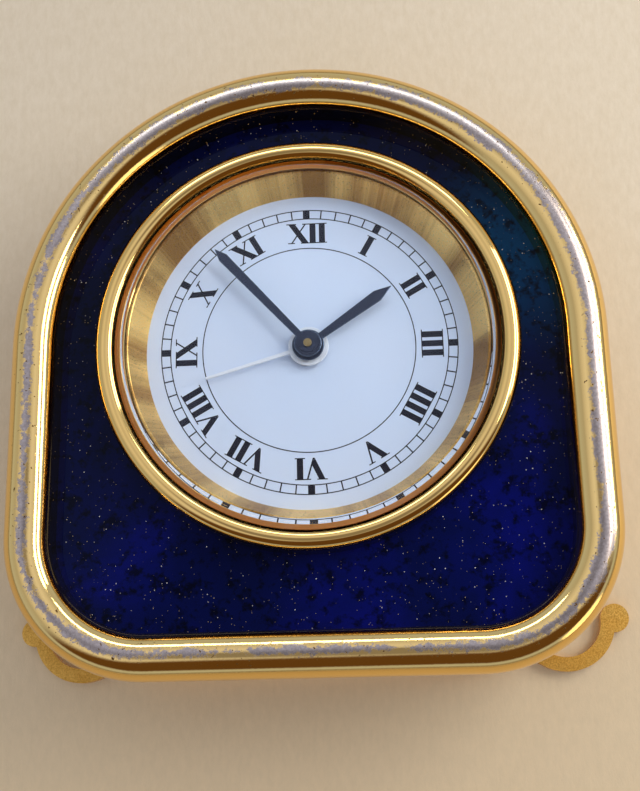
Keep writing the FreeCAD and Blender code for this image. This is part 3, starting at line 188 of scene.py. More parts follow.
def new_piece(name, vertices, faces, smooth_angle=None):
    """A mesh object with consistent outward faces; edges under the angle are smooth."""
    mesh = bpy.data.meshes.new(name)
    mesh.from_pydata(vertices, [], faces)
    mesh.validate()
    if smooth_angle is not None:
        mesh.shade_smooth()
        mesh.set_sharp_from_angle(angle=math.radians(smooth_angle))
    piece = bpy.data.objects.new(name, mesh)
    bpy.context.scene.collection.objects.link(piece)
    return piece


def dress(piece, material, body, replaced=()):
    """Gives a new piece its finish and its body, and hides the CAD nodes that it stands for."""
    piece.data.materials.clear()
    piece.data.materials.append(material)
    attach(piece, body)
    if replaced:
        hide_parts(*replaced)
    return piece


def strip_between(count_a, count_b):
    """Quads of a grid of count_a by count_b points that closes on itself both ways."""
    faces = []
    for i in range(count_a):
        for j in range(count_b):
            k = (i + 1) % count_a
            m = (j + 1) % count_b
            faces.append((i * count_b + j, k * count_b + j, k * count_b + m, i * count_b + m))
    return faces


def turned_points(section):
    """A section of (radius, height) at each step round the axis of the hands."""
    vertices = []
    for i in range(TURN_STEPS):
        angle = 2 * math.pi * i / TURN_STEPS
        vertices += [(r * math.cos(angle), r * math.sin(angle), z) for r, z in section]
    return vertices


def turned_piece(name, section):
    """A closed section turned about the axis of the hands."""
    faces = strip_between(TURN_STEPS, len(section))
    return new_piece(name, turned_points(section), faces, SMOOTH_ANGLE)


def turned_disc(name, section, smooth_angle):
    """A turned solid whose section starts and ends on the axis."""
    rim = section[1:-1]
    vertices = [(0.0, 0.0, section[0][1]), *turned_points(rim), (0.0, 0.0, section[-1][1])]
    faces = []
    for i in range(TURN_STEPS):
        first = 1 + i * len(rim)
        second = 1 + (i + 1) % TURN_STEPS * len(rim)
        faces.append((0, second, first))
        for j in range(len(rim) - 1):
            faces.append((first + j, second + j, second + j + 1, first + j + 1))
        faces.append((first + len(rim) - 1, second + len(rim) - 1, len(vertices) - 1))
    return new_piece(name, vertices, faces, smooth_angle)


def arc(centre, radius, start, end, steps):
    """Points on an arc, from start to end in degrees."""
    points = []
    for i in range(steps + 1):
        angle = math.radians(start + (end - start) * i / steps)
        points.append((centre[0] + radius * math.cos(angle), centre[1] + radius * math.sin(angle)))
    return points


def case_path(half, bottom, corner):
    """Points of the case outline with their inward directions, anticlockwise from the right."""
    side = half - corner
    low = -(bottom - corner)
    path = []
    for centre, radius, start, end, steps in (((0.0, 0.0), half, 0, 180, 90),
                                              ((-side, low), corner, 180, 270, 36),
                                              ((side, low), corner, 270, 360, 36)):
        for x, y in arc(centre, radius, start, end, steps):
            path.append((x, y, (centre[0] - x) / radius, (centre[1] - y) / radius))
    return path


def swept_piece(name, path, section, bead):
    """A closed section of (depth inwards, height) carried round the case outline. Each point
    keeps its lean from the bead's crest, outwards over a right angle, and its way out."""
    vertices = []
    leans = []
    for x, y, inward_x, inward_y in path:
        for depth, height in section:
            vertices.append((x + inward_x * depth, y + inward_y * depth, height))
            lean = math.atan2(bead[0] - depth, height - bead[1])
            leans += [lean / (math.pi / 2), -inward_x, -inward_y]
    faces = [tuple(reversed(face)) for face in strip_between(len(path), len(section))]
    piece = new_piece(name, vertices, faces, SMOOTH_ANGLE)
    kept = piece.data.attributes.new("bead_lean", "FLOAT_VECTOR", "POINT")
    kept.data.foreach_set("vector", leans)
    return piece


def flat_piece(name, outlines, low, thickness):
    """Flat shapes, each an anticlockwise outline, raised to a thickness."""
    vertices = []
    faces = []
    for outline in outlines:
        start = len(vertices)
        count = len(outline)
        vertices += [(x, y, low) for x, y in outline]
        vertices += [(x, y, low + thickness) for x, y in outline]
        faces.append(tuple(reversed(range(start, start + count))))
        faces.append(tuple(range(start + count, start + 2 * count)))
        for i in range(count):
            k = (i + 1) % count
            faces.append((start + i, start + k, start + count + k, start + count + i))
    return new_piece(name, vertices, faces)


def ring_outlines(radius, width, count=180):
    """A thin printed circle as a chain of four-sided shapes."""
    outlines = []
    for i in range(count):
        a = 2 * math.pi * i / count
        b = 2 * math.pi * (i + 1) / count
        inner = radius - width / 2
        outer = radius + width / 2
        outlines.append([(inner * math.cos(a), inner * math.sin(a)),
                         (outer * math.cos(a), outer * math.sin(a)),
                         (outer * math.cos(b), outer * math.sin(b)),
                         (inner * math.cos(b), inner * math.sin(b))])
    return outlines


def placed(outline, clock_angle):
    """An outline drawn upright at twelve, turned clockwise to its place on the dial."""
    c = math.cos(-clock_angle)
    s = math.sin(-clock_angle)
    return [(x * c - y * s, x * s + y * c) for x, y in outline]


def band(x0, y0, x1, y1, width):
    """A straight stroke between two heights, with level ends."""
    half = width / 2
    return [(x0 - half, y0), (x0 + half, y0), (x1 + half, y1), (x1 - half, y1)]


def numeral(text, dial):
    """Strokes of a Roman numeral, centred on x = 0, feet at the numeral's inner radius."""
    foot = dial.numeral_foot
    head = dial.numeral_head
    stem = dial.stem_width
    hair = dial.hair_line
    pitch = dial.stem_pitch
    spread = dial.letter_spread
    thick = stem * 1.12
    thin = hair * 1.6
    wide_serif = stem * 1.64
    short_serif = stem * 1.14
    past_letter = (spread + stem) / 2 + pitch * 0.42
    strokes = []
    x = 0.0
    previous = None
    for letter in text:
        if previous is not None:
            x += pitch if letter == previous else past_letter
        if letter == "I":
            strokes.append(band(x, foot, x, head, stem))
            for level in (foot, head - hair):
                strokes.append(band(x, level, x, level + hair, wide_serif))
        else:
            left = x - spread / 2
            right = x + spread / 2
            if letter == "V":
                # The thick leg ends in a point, cut off by the thin one
                height = head - foot
                share = (spread - stem / 2) / (spread + stem / 2)
                inner = (left + stem / 2 + share * (spread + stem) / 2, head - share * height)
                strokes.append([(left - stem / 2, head), (x, foot), inner,
                                (left + stem / 2, head)])
                strokes.append(band(x + hair, foot, right, head, thin))
            else:
                strokes.append(band(right, foot, left, head, thick))
                strokes.append(band(left, foot, right, head, thin))
                strokes.append(band(right, foot, right, foot + hair, wide_serif))
                strokes.append(band(left, foot, left, foot + hair, short_serif))
            strokes.append(band(left, head - hair, left, head, wide_serif))
            strokes.append(band(right, head - hair, right, head, short_serif))
        previous = letter
    low = min(px for stroke in strokes for px, _ in stroke)
    high = max(px for stroke in strokes for px, _ in stroke)
    middle = (low + high) / 2
    return [[(px - middle, py) for px, py in stroke] for stroke in strokes]


# Materials

def add(tree, kind, links=None, stops=None, **settings):
    """One shader node with its settings, socket values or links, and ramp stops."""
    made = tree.nodes.new(kind)
    for name, value in settings.items():
        setattr(made, name, value)
    if stops:
        elements = made.color_ramp.elements
        while len(elements) < len(stops):
            elements.new(1.0)
        for element, (position, colour) in zip(elements, stops):
            element.position = position
            element.color = colour
    for socket, value in (links or {}).items():
        target = made.inputs[socket]
        if isinstance(value, bpy.types.NodeSocket):
            tree.links.new(value, target)
        else:
            target.default_value = value
    return made


def math_node(tree, operation, first, second=0.0, third=0.0):
    """Output of one arithmetic node."""
    made = add(tree, "ShaderNodeMath", {0: first, 1: second, 2: third}, operation=operation)
    return made.outputs["Value"]


def scale_for(millimetres):
    """Texture scale whose pattern repeats about every so many millimetres."""
    return 1.0 / (millimetres * MM)


def noise(tree, place, millimetres, detail=3.0, roughness=0.5):
    """Value of a noise whose features measure about so many millimetres."""
    made = add(tree, "ShaderNodeTexNoise", {
        "Vector": place, "Scale": scale_for(millimetres), "Detail": detail,
        "Roughness": roughness})
    return made.outputs["Fac"]


def ramp(tree, value, low, high, to_low=0.0, to_high=1.0, smooth=False):
    """The value taken from one range to another, held at the ends."""
    made = add(tree, "ShaderNodeMapRange", {
        "Value": value, "From Min": low, "From Max": high, "To Min": to_low, "To Max": to_high},
        interpolation_type="SMOOTHSTEP" if smooth else "LINEAR")
    return made.outputs["Result"]


def blend(tree, factor, first, second):
    """Two colours mixed."""
    made = add(tree, "ShaderNodeMix", {"Factor": factor, 6: first, 7: second}, data_type="RGBA")
    return made.outputs[2]


def relief(tree, shader, height, strength, millimetres):
    """Fine relief on a surface."""
    made = add(tree, "ShaderNodeBump", {
        "Height": height, "Strength": strength, "Distance": millimetres * MM})
    tree.links.new(made.outputs["Normal"], shader.inputs["Normal"])


def new_material(name, **sockets):
    """A named material with its Principled shader set, and the position on the object."""
    material = bpy.data.materials.new(name)
    material.use_nodes = True
    tree = material.node_tree
    tree.nodes.clear()
    shader = add(tree, "ShaderNodeBsdfPrincipled",
                 {key.replace("_", " "): value for key, value in sockets.items()})
    add(tree, "ShaderNodeOutputMaterial", {"Surface": shader.outputs["BSDF"]})
    place = add(tree, "ShaderNodeTexCoord").outputs["Object"]
    return material, tree, shader, place


def specks(tree, place, pitch, size, channel, least):
    """Round specks in the few cells of a pattern that come out brightest in one channel of
    its colours, and the channels of those colours."""
    cells = add(tree, "ShaderNodeTexVoronoi", {"Vector": place, "Scale": scale_for(pitch)})
    pick = add(tree, "ShaderNodeSeparateColor", {"Color": cells.outputs["Color"]})
    near = math_node(tree, "LESS_THAN", cells.outputs["Distance"], size)
    chosen = math_node(tree, "GREATER_THAN", pick.outputs[channel], least)
    return math_node(tree, "MULTIPLY", near, chosen), pick


def see_through(tree, shader, share, colour):
    """Clears the surface for that share of the light."""
    clear = add(tree, "ShaderNodeBsdfTransparent", {"Color": colour})
    mixed = add(tree, "ShaderNodeMixShader", {
        "Fac": share, 1: shader.outputs["BSDF"], 2: clear.outputs["BSDF"]})
    tree.links.new(mixed.outputs["Shader"], tree.nodes["Material Output"].inputs["Surface"])


def worn_gold_plate(finishes):
    """Electroplated gold, mirror polished. Along the crest of the bead the plating is rubbed
    through to grey metal in ragged patches about a millimetre wide, with small pits beside."""
    material, tree, shader, place = new_material("worn_polished_gold_plate", Metallic=1.0)
    where = add(tree, "ShaderNodeAttribute", attribute_name="bead_lean").outputs["Vector"]
    split = add(tree, "ShaderNodeSeparateXYZ", {"Vector": where})
    lean, out_x, out_y = (split.outputs[axis] for axis in "XYZ")
    # The rubbed line leans outwards at the sides and inwards at the top and bottom
    sides = math_node(tree, "MULTIPLY", math_node(tree, "MULTIPLY", out_x, out_x), 0.055)
    ends = math_node(tree, "MULTIPLY_ADD", math_node(tree, "MULTIPLY", out_y, out_y), -0.075, sides)
    line = math_node(tree, "MULTIPLY_ADD", out_x, 0.035, ends)
    away = math_node(tree, "ABSOLUTE", math_node(tree, "SUBTRACT", lean, line))
    amount = math_node(tree, "MULTIPLY_ADD", away, -6.0, 0.85)
    amount = math_node(tree, "MULTIPLY_ADD", ramp(tree, out_x, 0.3, 1.0), 0.45, amount)
    amount = math_node(tree, "MULTIPLY_ADD", ramp(tree, out_y, 0.1, 0.9), 0.25, amount)
    patches = noise(tree, place, 1.5, 7.0, 0.82)
    stretches = noise(tree, place, 12.0, 2.0)
    amount = math_node(tree, "MULTIPLY_ADD", math_node(tree, "SUBTRACT", patches, 0.52), 5.2, amount)
    amount = math_node(tree, "MULTIPLY_ADD", math_node(tree, "SUBTRACT", stretches, 0.52), 2.0,
                       amount)
    mask = ramp(tree, amount, 0.0, 0.3, 0.0, 0.88)
    grain = noise(tree, place, 0.35, 3.0, 0.6)
    pits = noise(tree, place, 0.6, 2.0, 0.5)
    near = ramp(tree, away, 0.25, 0.6, 0.12, 0.0)
    pit = ramp(tree, math_node(tree, "ADD", pits, near), 0.79, 0.83)
    smudge = noise(tree, place, 6.0, 4.0)
    gloss = math_node(tree, "MULTIPLY_ADD", smudge, 0.08, ramp(tree, away, 0.1, 0.6, 0.06, 0.0))
    rough = add(tree, "ShaderNodeMix", {"Factor": mask, 2: gloss, 3: 0.28}).outputs[0]
    rough = add(tree, "ShaderNodeMix", {"Factor": pit, 2: rough, 3: 0.6}).outputs[0]
    worn = blend(tree, ramp(tree, grain, 0.35, 0.65), finishes.worn_metal, linear("8C8488"))
    colour = blend(tree, mask, finishes.gold, worn)
    colour = blend(tree, pit, colour, linear("6B4E2C"))
    height = math_node(tree, "MULTIPLY_ADD", mask, -0.7, grain)
    height = math_node(tree, "MULTIPLY_ADD", pit, -1.0, height)
    relief(tree, shader, height, 0.10, 0.05)
    tree.links.new(colour, shader.inputs["Base Color"])
    tree.links.new(rough, shader.inputs["Roughness"])
    return material


def polished_gold_plate(finishes):
    """Electroplated gold on turned brass, mirror polished, with faint wiping marks."""
    material, tree, shader, place = new_material("polished_gold_plate", Metallic=1.0)
    wipe = noise(tree, place, 5.0, 6.0, 0.6)
    tree.links.new(blend(tree, wipe, finishes.gold, linear("ECC06C")), shader.inputs["Base Color"])
    tree.links.new(ramp(tree, wipe, 0.3, 0.7, 0.03, 0.09), shader.inputs["Roughness"])
    relief(tree, shader, noise(tree, place, 0.5, 2.0), 0.02, 0.03)
    return material


def radially_brushed_gold(finishes):
    """Gold plate brushed from the centre outwards: straight streaks of all widths run up the
    cone, and light spreads across them in soft fans, which are also painted into the colour
    as a painted highlight."""
    material, tree, shader, place = new_material(
        "radially_brushed_gold", Metallic=1.0, Anisotropic=0.7, Anisotropic_Rotation=0.25)
    split = add(tree, "ShaderNodeSeparateXYZ", {"Vector": place})
    angle = math_node(tree, "ARCTAN2", split.outputs["Y"], split.outputs["X"])

    def streaks(width_mm, detail):
        turns = math_node(tree, "MULTIPLY", angle, 25.0 / width_mm)
        made = add(tree, "ShaderNodeTexNoise", {
            "W": turns, "Scale": 1.0, "Detail": detail, "Roughness": 0.65},
            noise_dimensions="1D")
        return made.outputs["Fac"]

    fine = streaks(0.35, 3.0)
    wide = streaks(2.2, 3.0)
    # Painted highlight: broad brighter and darker sectors round the ring stand in for the fans of light
    # on the cone
    painted_sheen_fans = streaks(11.0, 1.0)
    tone = math_node(tree, "MULTIPLY_ADD", wide, 0.35, math_node(tree, "MULTIPLY", fine, 0.22))
    # The tone mixes the real brushed streaks with the painted highlight of the fans
    tone = math_node(tree, "MULTIPLY_ADD", painted_sheen_fans, 1.6, tone)
    tint = blend(tree, ramp(tree, tone, 0.88, 1.27), linear("AC7A32"), linear("FCCE78"))
    glitter = noise(tree, place, 0.22, 2.0)
    rough = math_node(tree, "MULTIPLY_ADD", glitter, 0.14, 0.22)
    height = math_node(tree, "MULTIPLY_ADD", glitter, 0.25, tone)
    relief(tree, shader, height, 0.10, 0.05)
    around = add(tree, "ShaderNodeTangent", direction_type="RADIAL", axis="Z")
    tree.links.new(tint, shader.inputs["Base Color"])
    tree.links.new(rough, shader.inputs["Roughness"])
    tree.links.new(around.outputs["Tangent"], shader.inputs["Tangent"])
    return material


def satin_gold_plate(finishes):
    """Gold plate over bead-blasted brass: an even fine grain, slightly rubbed."""
    material, tree, shader, place = new_material("satin_blasted_gold_plate", Metallic=1.0)
    rub = noise(tree, place, 4.0, 4.0)
    # Grit of 0.22 mm, drawn a little coarser than the real blasting so that it shows
    grit = noise(tree, place, 0.22, 3.0, 0.7)
    tint = blend(tree, rub, finishes.satin_gold, linear("D8A242"))
    tint = blend(tree, ramp(tree, grit, 0.70, 0.35), tint, linear("BE8A38"))
    tree.links.new(tint, shader.inputs["Base Color"])
    tree.links.new(ramp(tree, rub, 0.3, 0.7, 0.34, 0.50), shader.inputs["Roughness"])
    relief(tree, shader, grit, 0.5, 0.06)
    return material


def brushed_gold(name, stretch):
    """Gold-plated sheet brass with fine brushed lines, long where the stretch is small."""
    material, tree, shader, place = new_material(name, Metallic=1.0)
    along = add(tree, "ShaderNodeMapping", {"Vector": place, "Scale": stretch}).outputs["Vector"]
    lines = noise(tree, along, 0.12)
    tint = blend(tree, lines, linear("E3BE7A"), linear("C99E57"))
    tree.links.new(tint, shader.inputs["Base Color"])
    tree.links.new(ramp(tree, lines, 0.3, 0.7, 0.20, 0.34), shader.inputs["Roughness"])
    relief(tree, shader, lines, 0.12, 0.03)
    return material


def brushed_gold_band(finishes):
    """The band round the case: level brushed lines and a soft gloss."""
    return brushed_gold("brushed_gold_band", (0.03, 0.03, 1.0))


def brushed_gold_cover(finishes):
    """The back cover, brushed straight from side to side."""
    return brushed_gold("brushed_gold_cover", (0.03, 1.0, 1.0))


def blue_stone_lacquer(finishes):
    """Polished lacquer made to look like lapis: navy depth, cobalt clouds, black mottling and
    fine gold flecks, under a clear coat that mirrors the bezel. A teal patch at the upper right
    is a painted reflection of the sky, and the upper left is painted darker as painted shade."""
    material, tree, shader, place = new_material(
        "polished_lapis_lacquer", Roughness=0.4, Specular_IOR_Level=0.0, Coat_Weight=0.16,
        Coat_Roughness=0.03, Coat_IOR=1.5)
    clouds = add(tree, "ShaderNodeTexNoise", {
        "Vector": place, "Scale": scale_for(17.0), "Detail": 4.0, "Roughness": 0.55,
        "Distortion": 0.4}).outputs["Fac"]
    split = add(tree, "ShaderNodeSeparateXYZ", {"Vector": place})
    # Painted shade: the lacquer is drawn darker towards the upper left and more cobalt towards the
    # lower right
    low_right = math_node(tree, "MULTIPLY_ADD", split.outputs["X"], -0.55, split.outputs["Y"])
    amount = math_node(tree, "ADD", clouds, ramp(tree, low_right, -0.060, 0.015, 0.20, -0.20))
    deep = add(tree, "ShaderNodeValToRGB", {"Fac": amount}, stops=[
        (0.34, finishes.lacquer), (0.55, linear("030A40")), (0.80, finishes.lacquer_cloud)])
    # Painted reflection: a teal patch at the upper right stands in for the sky mirrored in the clear
    # coat
    from_painted_reflection = add(tree, "ShaderNodeVectorMath", {
        0: place, 1: (0.036, 0.016, 0.020)}, operation="DISTANCE").outputs["Value"]
    painted_sky_reflection = ramp(tree, from_painted_reflection, 0.002, 0.021, 0.95, 0.0, smooth=True)
    colour = blend(tree, painted_sky_reflection, deep.outputs["Color"], linear("033C66"))
    spots = noise(tree, place, 1.5, 3.0, 0.6)
    colour = blend(tree, ramp(tree, spots, 0.50, 0.66, 0.0, 0.85), colour, linear("01020B"))
    # Flecks of 0.1 to 0.2 mm: the few cells of two fine patterns that come out brightest
    for pitch, size, least, tone in ((0.4, 0.15, 0.76, "A09070"), (0.8, 0.10, 0.58, "D2D0CA")):
        fleck, pick = specks(tree, place, pitch, size, "Red", least)
        fleck = math_node(tree, "MULTIPLY", fleck, pick.outputs["Green"])
        colour = blend(tree, fleck, colour, linear(tone))
    tree.links.new(colour, shader.inputs["Base Color"])
    return material


def mineral_crystal(finishes):
    """Flat ground mineral glass with a polished bevel, bloomed so that little light glances off."""
    material, tree, shader, place = new_material(
        "polished_mineral_glass", Base_Color=linear("FBFDFF"), Transmission_Weight=1.0, IOR=1.5,
        Specular_Tint=linear("8A8F96"))
    haze = noise(tree, place, 7.0)
    tree.links.new(ramp(tree, haze, 0.3, 0.8, 0.0, 0.012), shader.inputs["Roughness"])
    # Light falls through it, only a little dimmed
    see_through(tree, shader, add(tree, "ShaderNodeLightPath").outputs["Is Shadow Ray"],
                linear("F7F8F9"))
    return material


def dial_enamel(finishes):
    """Fired white enamel, matt and very slightly uneven in tone, with a few dust specks."""
    material, tree, shader, place = new_material(
        "matt_white_dial_enamel", Roughness=0.45, Specular_IOR_Level=0.35)
    colour = blend(tree, noise(tree, place, 14.0, 2.0), finishes.enamel, linear("CFDBEE"))
    dust = specks(tree, place, 3.2, 0.028, "Blue", 0.86)[0]
    colour = blend(tree, math_node(tree, "MULTIPLY", dust, 0.45), colour, linear("6F7480"))
    tree.links.new(colour, shader.inputs["Base Color"])
    return material


def plain_finish(name, colour, second, grain_mm, roughness, spread, strength, **sockets):
    """An even surface with two close tones, uneven gloss and a fine relief."""
    material, tree, shader, place = new_material(name, **sockets)
    grain = noise(tree, place, grain_mm, 4.0, 0.6)
    tree.links.new(blend(tree, grain, colour, second), shader.inputs["Base Color"])
    tree.links.new(ramp(tree, grain, 0.3, 0.7, roughness - spread, roughness + spread),
                   shader.inputs["Roughness"])
    relief(tree, shader, grain, strength, 0.04)
    return material


def printing_ink(finishes):
    """Pad-printed ink, almost black with a blue cast, matt."""
    return plain_finish("pad_printed_ink", finishes.ink, linear("201F2A"), 0.4, 0.6, 0.08, 0.1,
                        Specular_IOR_Level=0.12)


def blued_hand(finishes):
    """Stamped hand with slate-blue satin lacquer."""
    return plain_finish("slate_lacquered_hand", finishes.blued, linear("232B40"), 0.6, 0.34, 0.05,
                        0.08, Specular_IOR_Level=0.25)


def hand_edge_highlight(finishes):
    """The cut edge of a hand: a lighter, partly metallic copy of its lacquer, painted on as a highlight
    where the bevel catches the light.
    """
    return plain_finish("slate_hand_edge_painted_highlight", linear("5F7187"), linear("4C5B72"), 0.5, 0.28, 0.05,
                        0.05, Metallic=0.6)


def silver_hand(finishes):
    """Stamped hand with a fine silver paint."""
    return plain_finish("silver_painted_hand", finishes.silver, linear("E6ECF4"), 0.3, 0.45, 0.05,
                        0.08)


def turned_brass(finishes):
    """Turned brass, slightly dulled by age."""
    return plain_finish("aged_turned_brass", linear("A08A5C"), linear("7D6A42"), 0.5, 0.34, 0.08,
                        0.1, Metallic=1.0)


def cut_brass(finishes):
    """Cut and stamped brass of the wheels, bright with fine tool marks."""
    return plain_finish("cut_wheel_brass", linear("D8B56A"), linear("BE9850"), 0.3, 0.26, 0.06,
                        0.1, Metallic=1.0)


def turned_steel(finishes):
    """Turned and tempered steel of screws and arbors."""
    return plain_finish("turned_steel", linear("B4B4B6"), linear("9A9A9D"), 0.3, 0.28, 0.08, 0.1,
                        Metallic=1.0)


def rolled_spring_steel(finishes):
    """Rolled spring strip, smooth and slightly grey."""
    return plain_finish("rolled_spring_steel", linear("A8A9AC"), linear("8F9094"), 0.4, 0.24,
                        0.05, 0.05, Metallic=1.0)


def stamped_iron(finishes):
    """Annealed silicon iron sheet, dull grey."""
    return plain_finish("stamped_silicon_iron", linear("86878A"), linear("6E6F73"), 0.5, 0.42,
                        0.08, 0.12, Metallic=1.0)


def ground_magnet(finishes):
    """Ground sintered magnet, dark and slightly granular."""
    return plain_finish("ground_magnet", linear("4A4A4E"), linear("3A3A3E"), 0.15, 0.45, 0.08,
                        0.2, Metallic=0.8)


def enamelled_winding(finishes):
    """Fine enamelled copper wire, wound side by side across the core."""
    material, tree, shader, place = new_material("enamelled_copper_winding", Metallic=0.9,
                                                 Roughness=0.3)
    # Wire of 0.05 mm would vanish, so the turns are drawn 0.2 mm apart
    turns = add(tree, "ShaderNodeTexWave", {
        "Vector": place, "Scale": scale_for(0.2) / (2 * math.pi), "Distortion": 0.3},
        wave_type="BANDS", bands_direction="Y").outputs["Fac"]
    tree.links.new(blend(tree, turns, linear("6E3418"), linear("C46E3C")),
                   shader.inputs["Base Color"])
    relief(tree, shader, turns, 0.4, 0.08)
    return material


def moulded_dark(finishes):
    """Moulded polyacetal of the movement, dark grey with a fine spark-eroded grain."""
    return plain_finish("moulded_dark_acetal", linear("34363A"), linear("2A2C30"), 0.25, 0.5,
                        0.06, 0.2)


def moulded_grey(finishes):
    """Moulded light grey plastic."""
    return plain_finish("moulded_light_grey_plastic", linear("C9C8C2"), linear("B9B8B1"), 0.3,
                        0.42, 0.06, 0.15)


def solder_mask(finishes):
    """Green solder mask over the circuit board's copper."""
    return plain_finish("green_solder_mask", linear("14573A"), linear("0F4630"), 1.2, 0.3, 0.06,
                        0.15)


def moulded_black(finishes):
    """Moulded black plastic with a fine grain."""
    return plain_finish("moulded_black_plastic", linear("1B1B1D"), linear("131315"), 0.2, 0.45,
                        0.07, 0.2)


def nickel_can(finishes):
    """Drawn, nickel-plated steel can."""
    return plain_finish("nickel_plated_can", linear("CFCDC8"), linear("BBB9B4"), 0.8, 0.18, 0.05,
                        0.05, Metallic=1.0)


def moulded_rubber(finishes):
    """Moulded black rubber, dull and finely pitted."""
    return plain_finish("moulded_black_rubber", linear("202022"), linear("17171A"), 0.3, 0.8,
                        0.06, 0.3)


def gasket_painted_bright(finishes):
    """Amber nylon gasket under the crystal, seen through the bevel as a golden brown ring. Its colour
    is painted brighter and more golden than the nylon, painted light against the shade of its recess.
    """
    # Painted light: the colour is brighter than the nylon, to make up for the shade in the recess
    return plain_finish("amber_nylon_gasket_painted_bright", linear("FFC56E"), linear("EDAC55"), 0.6, 0.35,
                        0.06, 0.05)


SLOT_FINISHES = {
    "polished_gold": polished_gold_plate,
    "satin_gold": satin_gold_plate,
    "blue_lacquer": blue_stone_lacquer,
    "crystal_glass": mineral_crystal,
    "dial_white": dial_enamel,
    "blued_steel": blued_hand,
    "silver_paint": silver_hand,
    "aged_brass": turned_brass,
    "steel": turned_steel,
    "spring_steel": rolled_spring_steel,
    "silicon_iron": stamped_iron,
    "magnet": ground_magnet,
    "copper_wire": enamelled_winding,
    "brass_wheel": cut_brass,
    "movement_plastic": moulded_dark,
    "clear_grey_plastic": moulded_grey,
    "board_green": solder_mask,
    "chip_black": moulded_black,
    "cell_nickel": nickel_can,
    "rubber_black": moulded_rubber,
    "gasket": gasket_painted_bright,
}
made_finishes = {}


def finish(maker):
    """The material that a maker function gives, made once."""
    if maker not in made_finishes:
        made_finishes[maker] = maker(bpy.context.scene.clock_finishes)
    return made_finishes[maker]


def dress_node(name, material):
    """Gives a CAD node its finish."""
    slots = frame["nodes"][name].data.materials
    if len(slots) == 0:
        slots.append(material)
    for i in range(len(slots)):
        slots[i] = material


# Operators, one for each group of pieces

class ClockNodes(bpy.types.Operator):
    """Gives every piece that comes straight from the CAD frame its finish"""
    bl_idname = "clock.dress_nodes"
    bl_label = "Finishes of the CAD pieces"

    def execute(self, context):
        for part in frame["record"]["subparts"]:
            dress_node(part["node"], finish(SLOT_FINISHES[part["material_slot"]]))
        dress_node("case_band", finish(brushed_gold_band))
        dress_node("back_cover", finish(brushed_gold_cover))
        return {"FINISHED"}


class ClockFrontFrame(bpy.types.Operator):
    """Front frame: the round gold bead with its skirt, swept round the case"""
    bl_idname = "clock.front_frame"
    bl_label = "Front frame"

    def execute(self, context):
        case = context.scene.clock_case
        low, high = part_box("rim_frame")
        band_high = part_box("case_band")[1]
        panel_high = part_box("face_panel")[1]
        rho = case.bead_radius
        inset = high[0] - band_high[0]
        bead = (rho, high[2] - rho)
        start = 180 + math.degrees(math.acos((rho - inset) / rho))
        ledge = high[0] - panel_high[0] - case.panel_play
        groove = case.seam_groove
        section = [
            (inset + groove, low[2]), (inset, low[2] + groove),
            *arc(bead, rho, start, 0, 54),
            (2 * rho, panel_high[2]), (ledge, panel_high[2]), (ledge, low[2]),
        ]
        path = case_path(high[0], -low[1], case.corner_radius)
        piece = swept_piece("front_frame_bead", path, section, bead)
        dress(piece, finish(worn_gold_plate), "case", ["rim_frame"])
        return {"FINISHED"}


class ClockBezel(bpy.types.Operator):
    """Bezel, crystal and flange, turned about the axis of the hands"""
    bl_idname = "clock.bezel"
    bl_label = "Bezel, crystal and flange"

    def execute(self, context):
        case = context.scene.clock_case
        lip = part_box("bezel")[1][0] - 2 * case.bezel_bead
        self.bezel(case, lip)
        self.crystal(case, lip - case.crystal_play)
        self.flange(case)
        return {"FINISHED"}

    def bezel(self, case, lip):
        low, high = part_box("bezel")
        outer = high[0]
        rho = case.bezel_bead
        edge = case.bezel_edge
        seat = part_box("crystal_gasket")[0][2]
        panel_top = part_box("face_panel")[1][2]
        spigot = outer - case.spigot_step
        section = [
            (case.bezel_bore, low[2]), (spigot, low[2]), (spigot, panel_top), (outer, panel_top),
            *arc((outer - rho, high[2] - rho), rho, 0, 180, 44),
            (lip, seat), (case.bezel_bore + edge, seat), (case.bezel_bore, seat - edge),
        ]
        piece = turned_piece("polished_bezel", section)
        dress(piece, finish(polished_gold_plate), "case", ["bezel"])

    def crystal(self, case, wall):
        low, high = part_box("crystal")
        round_off = case.crystal_round
        section = [
            (0.0, low[2]), (wall - round_off, low[2]), (wall, low[2] + round_off),
            (wall, low[2] + case.crystal_edge), (high[0] - case.crystal_bevel, high[2]),
            (0.0, high[2]),
        ]
        # The bevel is ground, so its edges stay crisp
        piece = turned_disc("ground_crystal", section, 20)
        dress(piece, finish(mineral_crystal), "case", ["crystal"])

    def flange(self, case):
        low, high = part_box("flange_ring")
        land = high[0] - case.flange_land
        section = [
            (case.flange_foot, low[2]), (high[0], low[2]), (high[0], high[2]),
            (land, high[2]), (land - case.flange_break, high[2] - case.flange_drop),
        ]
        piece = turned_piece("brushed_flange", section)
        dress(piece, finish(radially_brushed_gold), "case", ["flange_ring"])


class ClockDialPrint(bpy.types.Operator):
    """Printing of the dial: circles, minute track, hour blocks and Roman numerals"""
    bl_idname = "clock.dial_print"
    bl_label = "Dial printing"

    def execute(self, context):
        dial = context.scene.clock_dial
        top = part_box("dial")[1][2]
        half_hair = dial.hair_line / 2
        outlines = []
        for radius in (dial.inner_circle, dial.track_inner, dial.track_outer):
            outlines += ring_outlines(radius, dial.hair_line)
        for minute in range(dial.minutes):
            width = dial.hour_block if minute % 5 == 0 else dial.tick_line
            tick = [(-width / 2, dial.track_inner + half_hair),
                    (width / 2, dial.track_inner + half_hair),
                    (width / 2, dial.track_outer - half_hair),
                    (-width / 2, dial.track_outer - half_hair)]
            outlines.append(placed(tick, 2 * math.pi * minute / dial.minutes))
        numerals = ("XII", "I", "II", "III", "IIII", "V", "VI", "VII", "VIII", "IX", "X", "XI")
        for hour, text in enumerate(numerals):
            for stroke in numeral(text, dial):
                outlines.append(placed(stroke, math.pi * hour / 6))
        piece = flat_piece("dial_print", outlines, top, dial.print_lift)
        dress(piece, finish(printing_ink), "case")
        return {"FINISHED"}


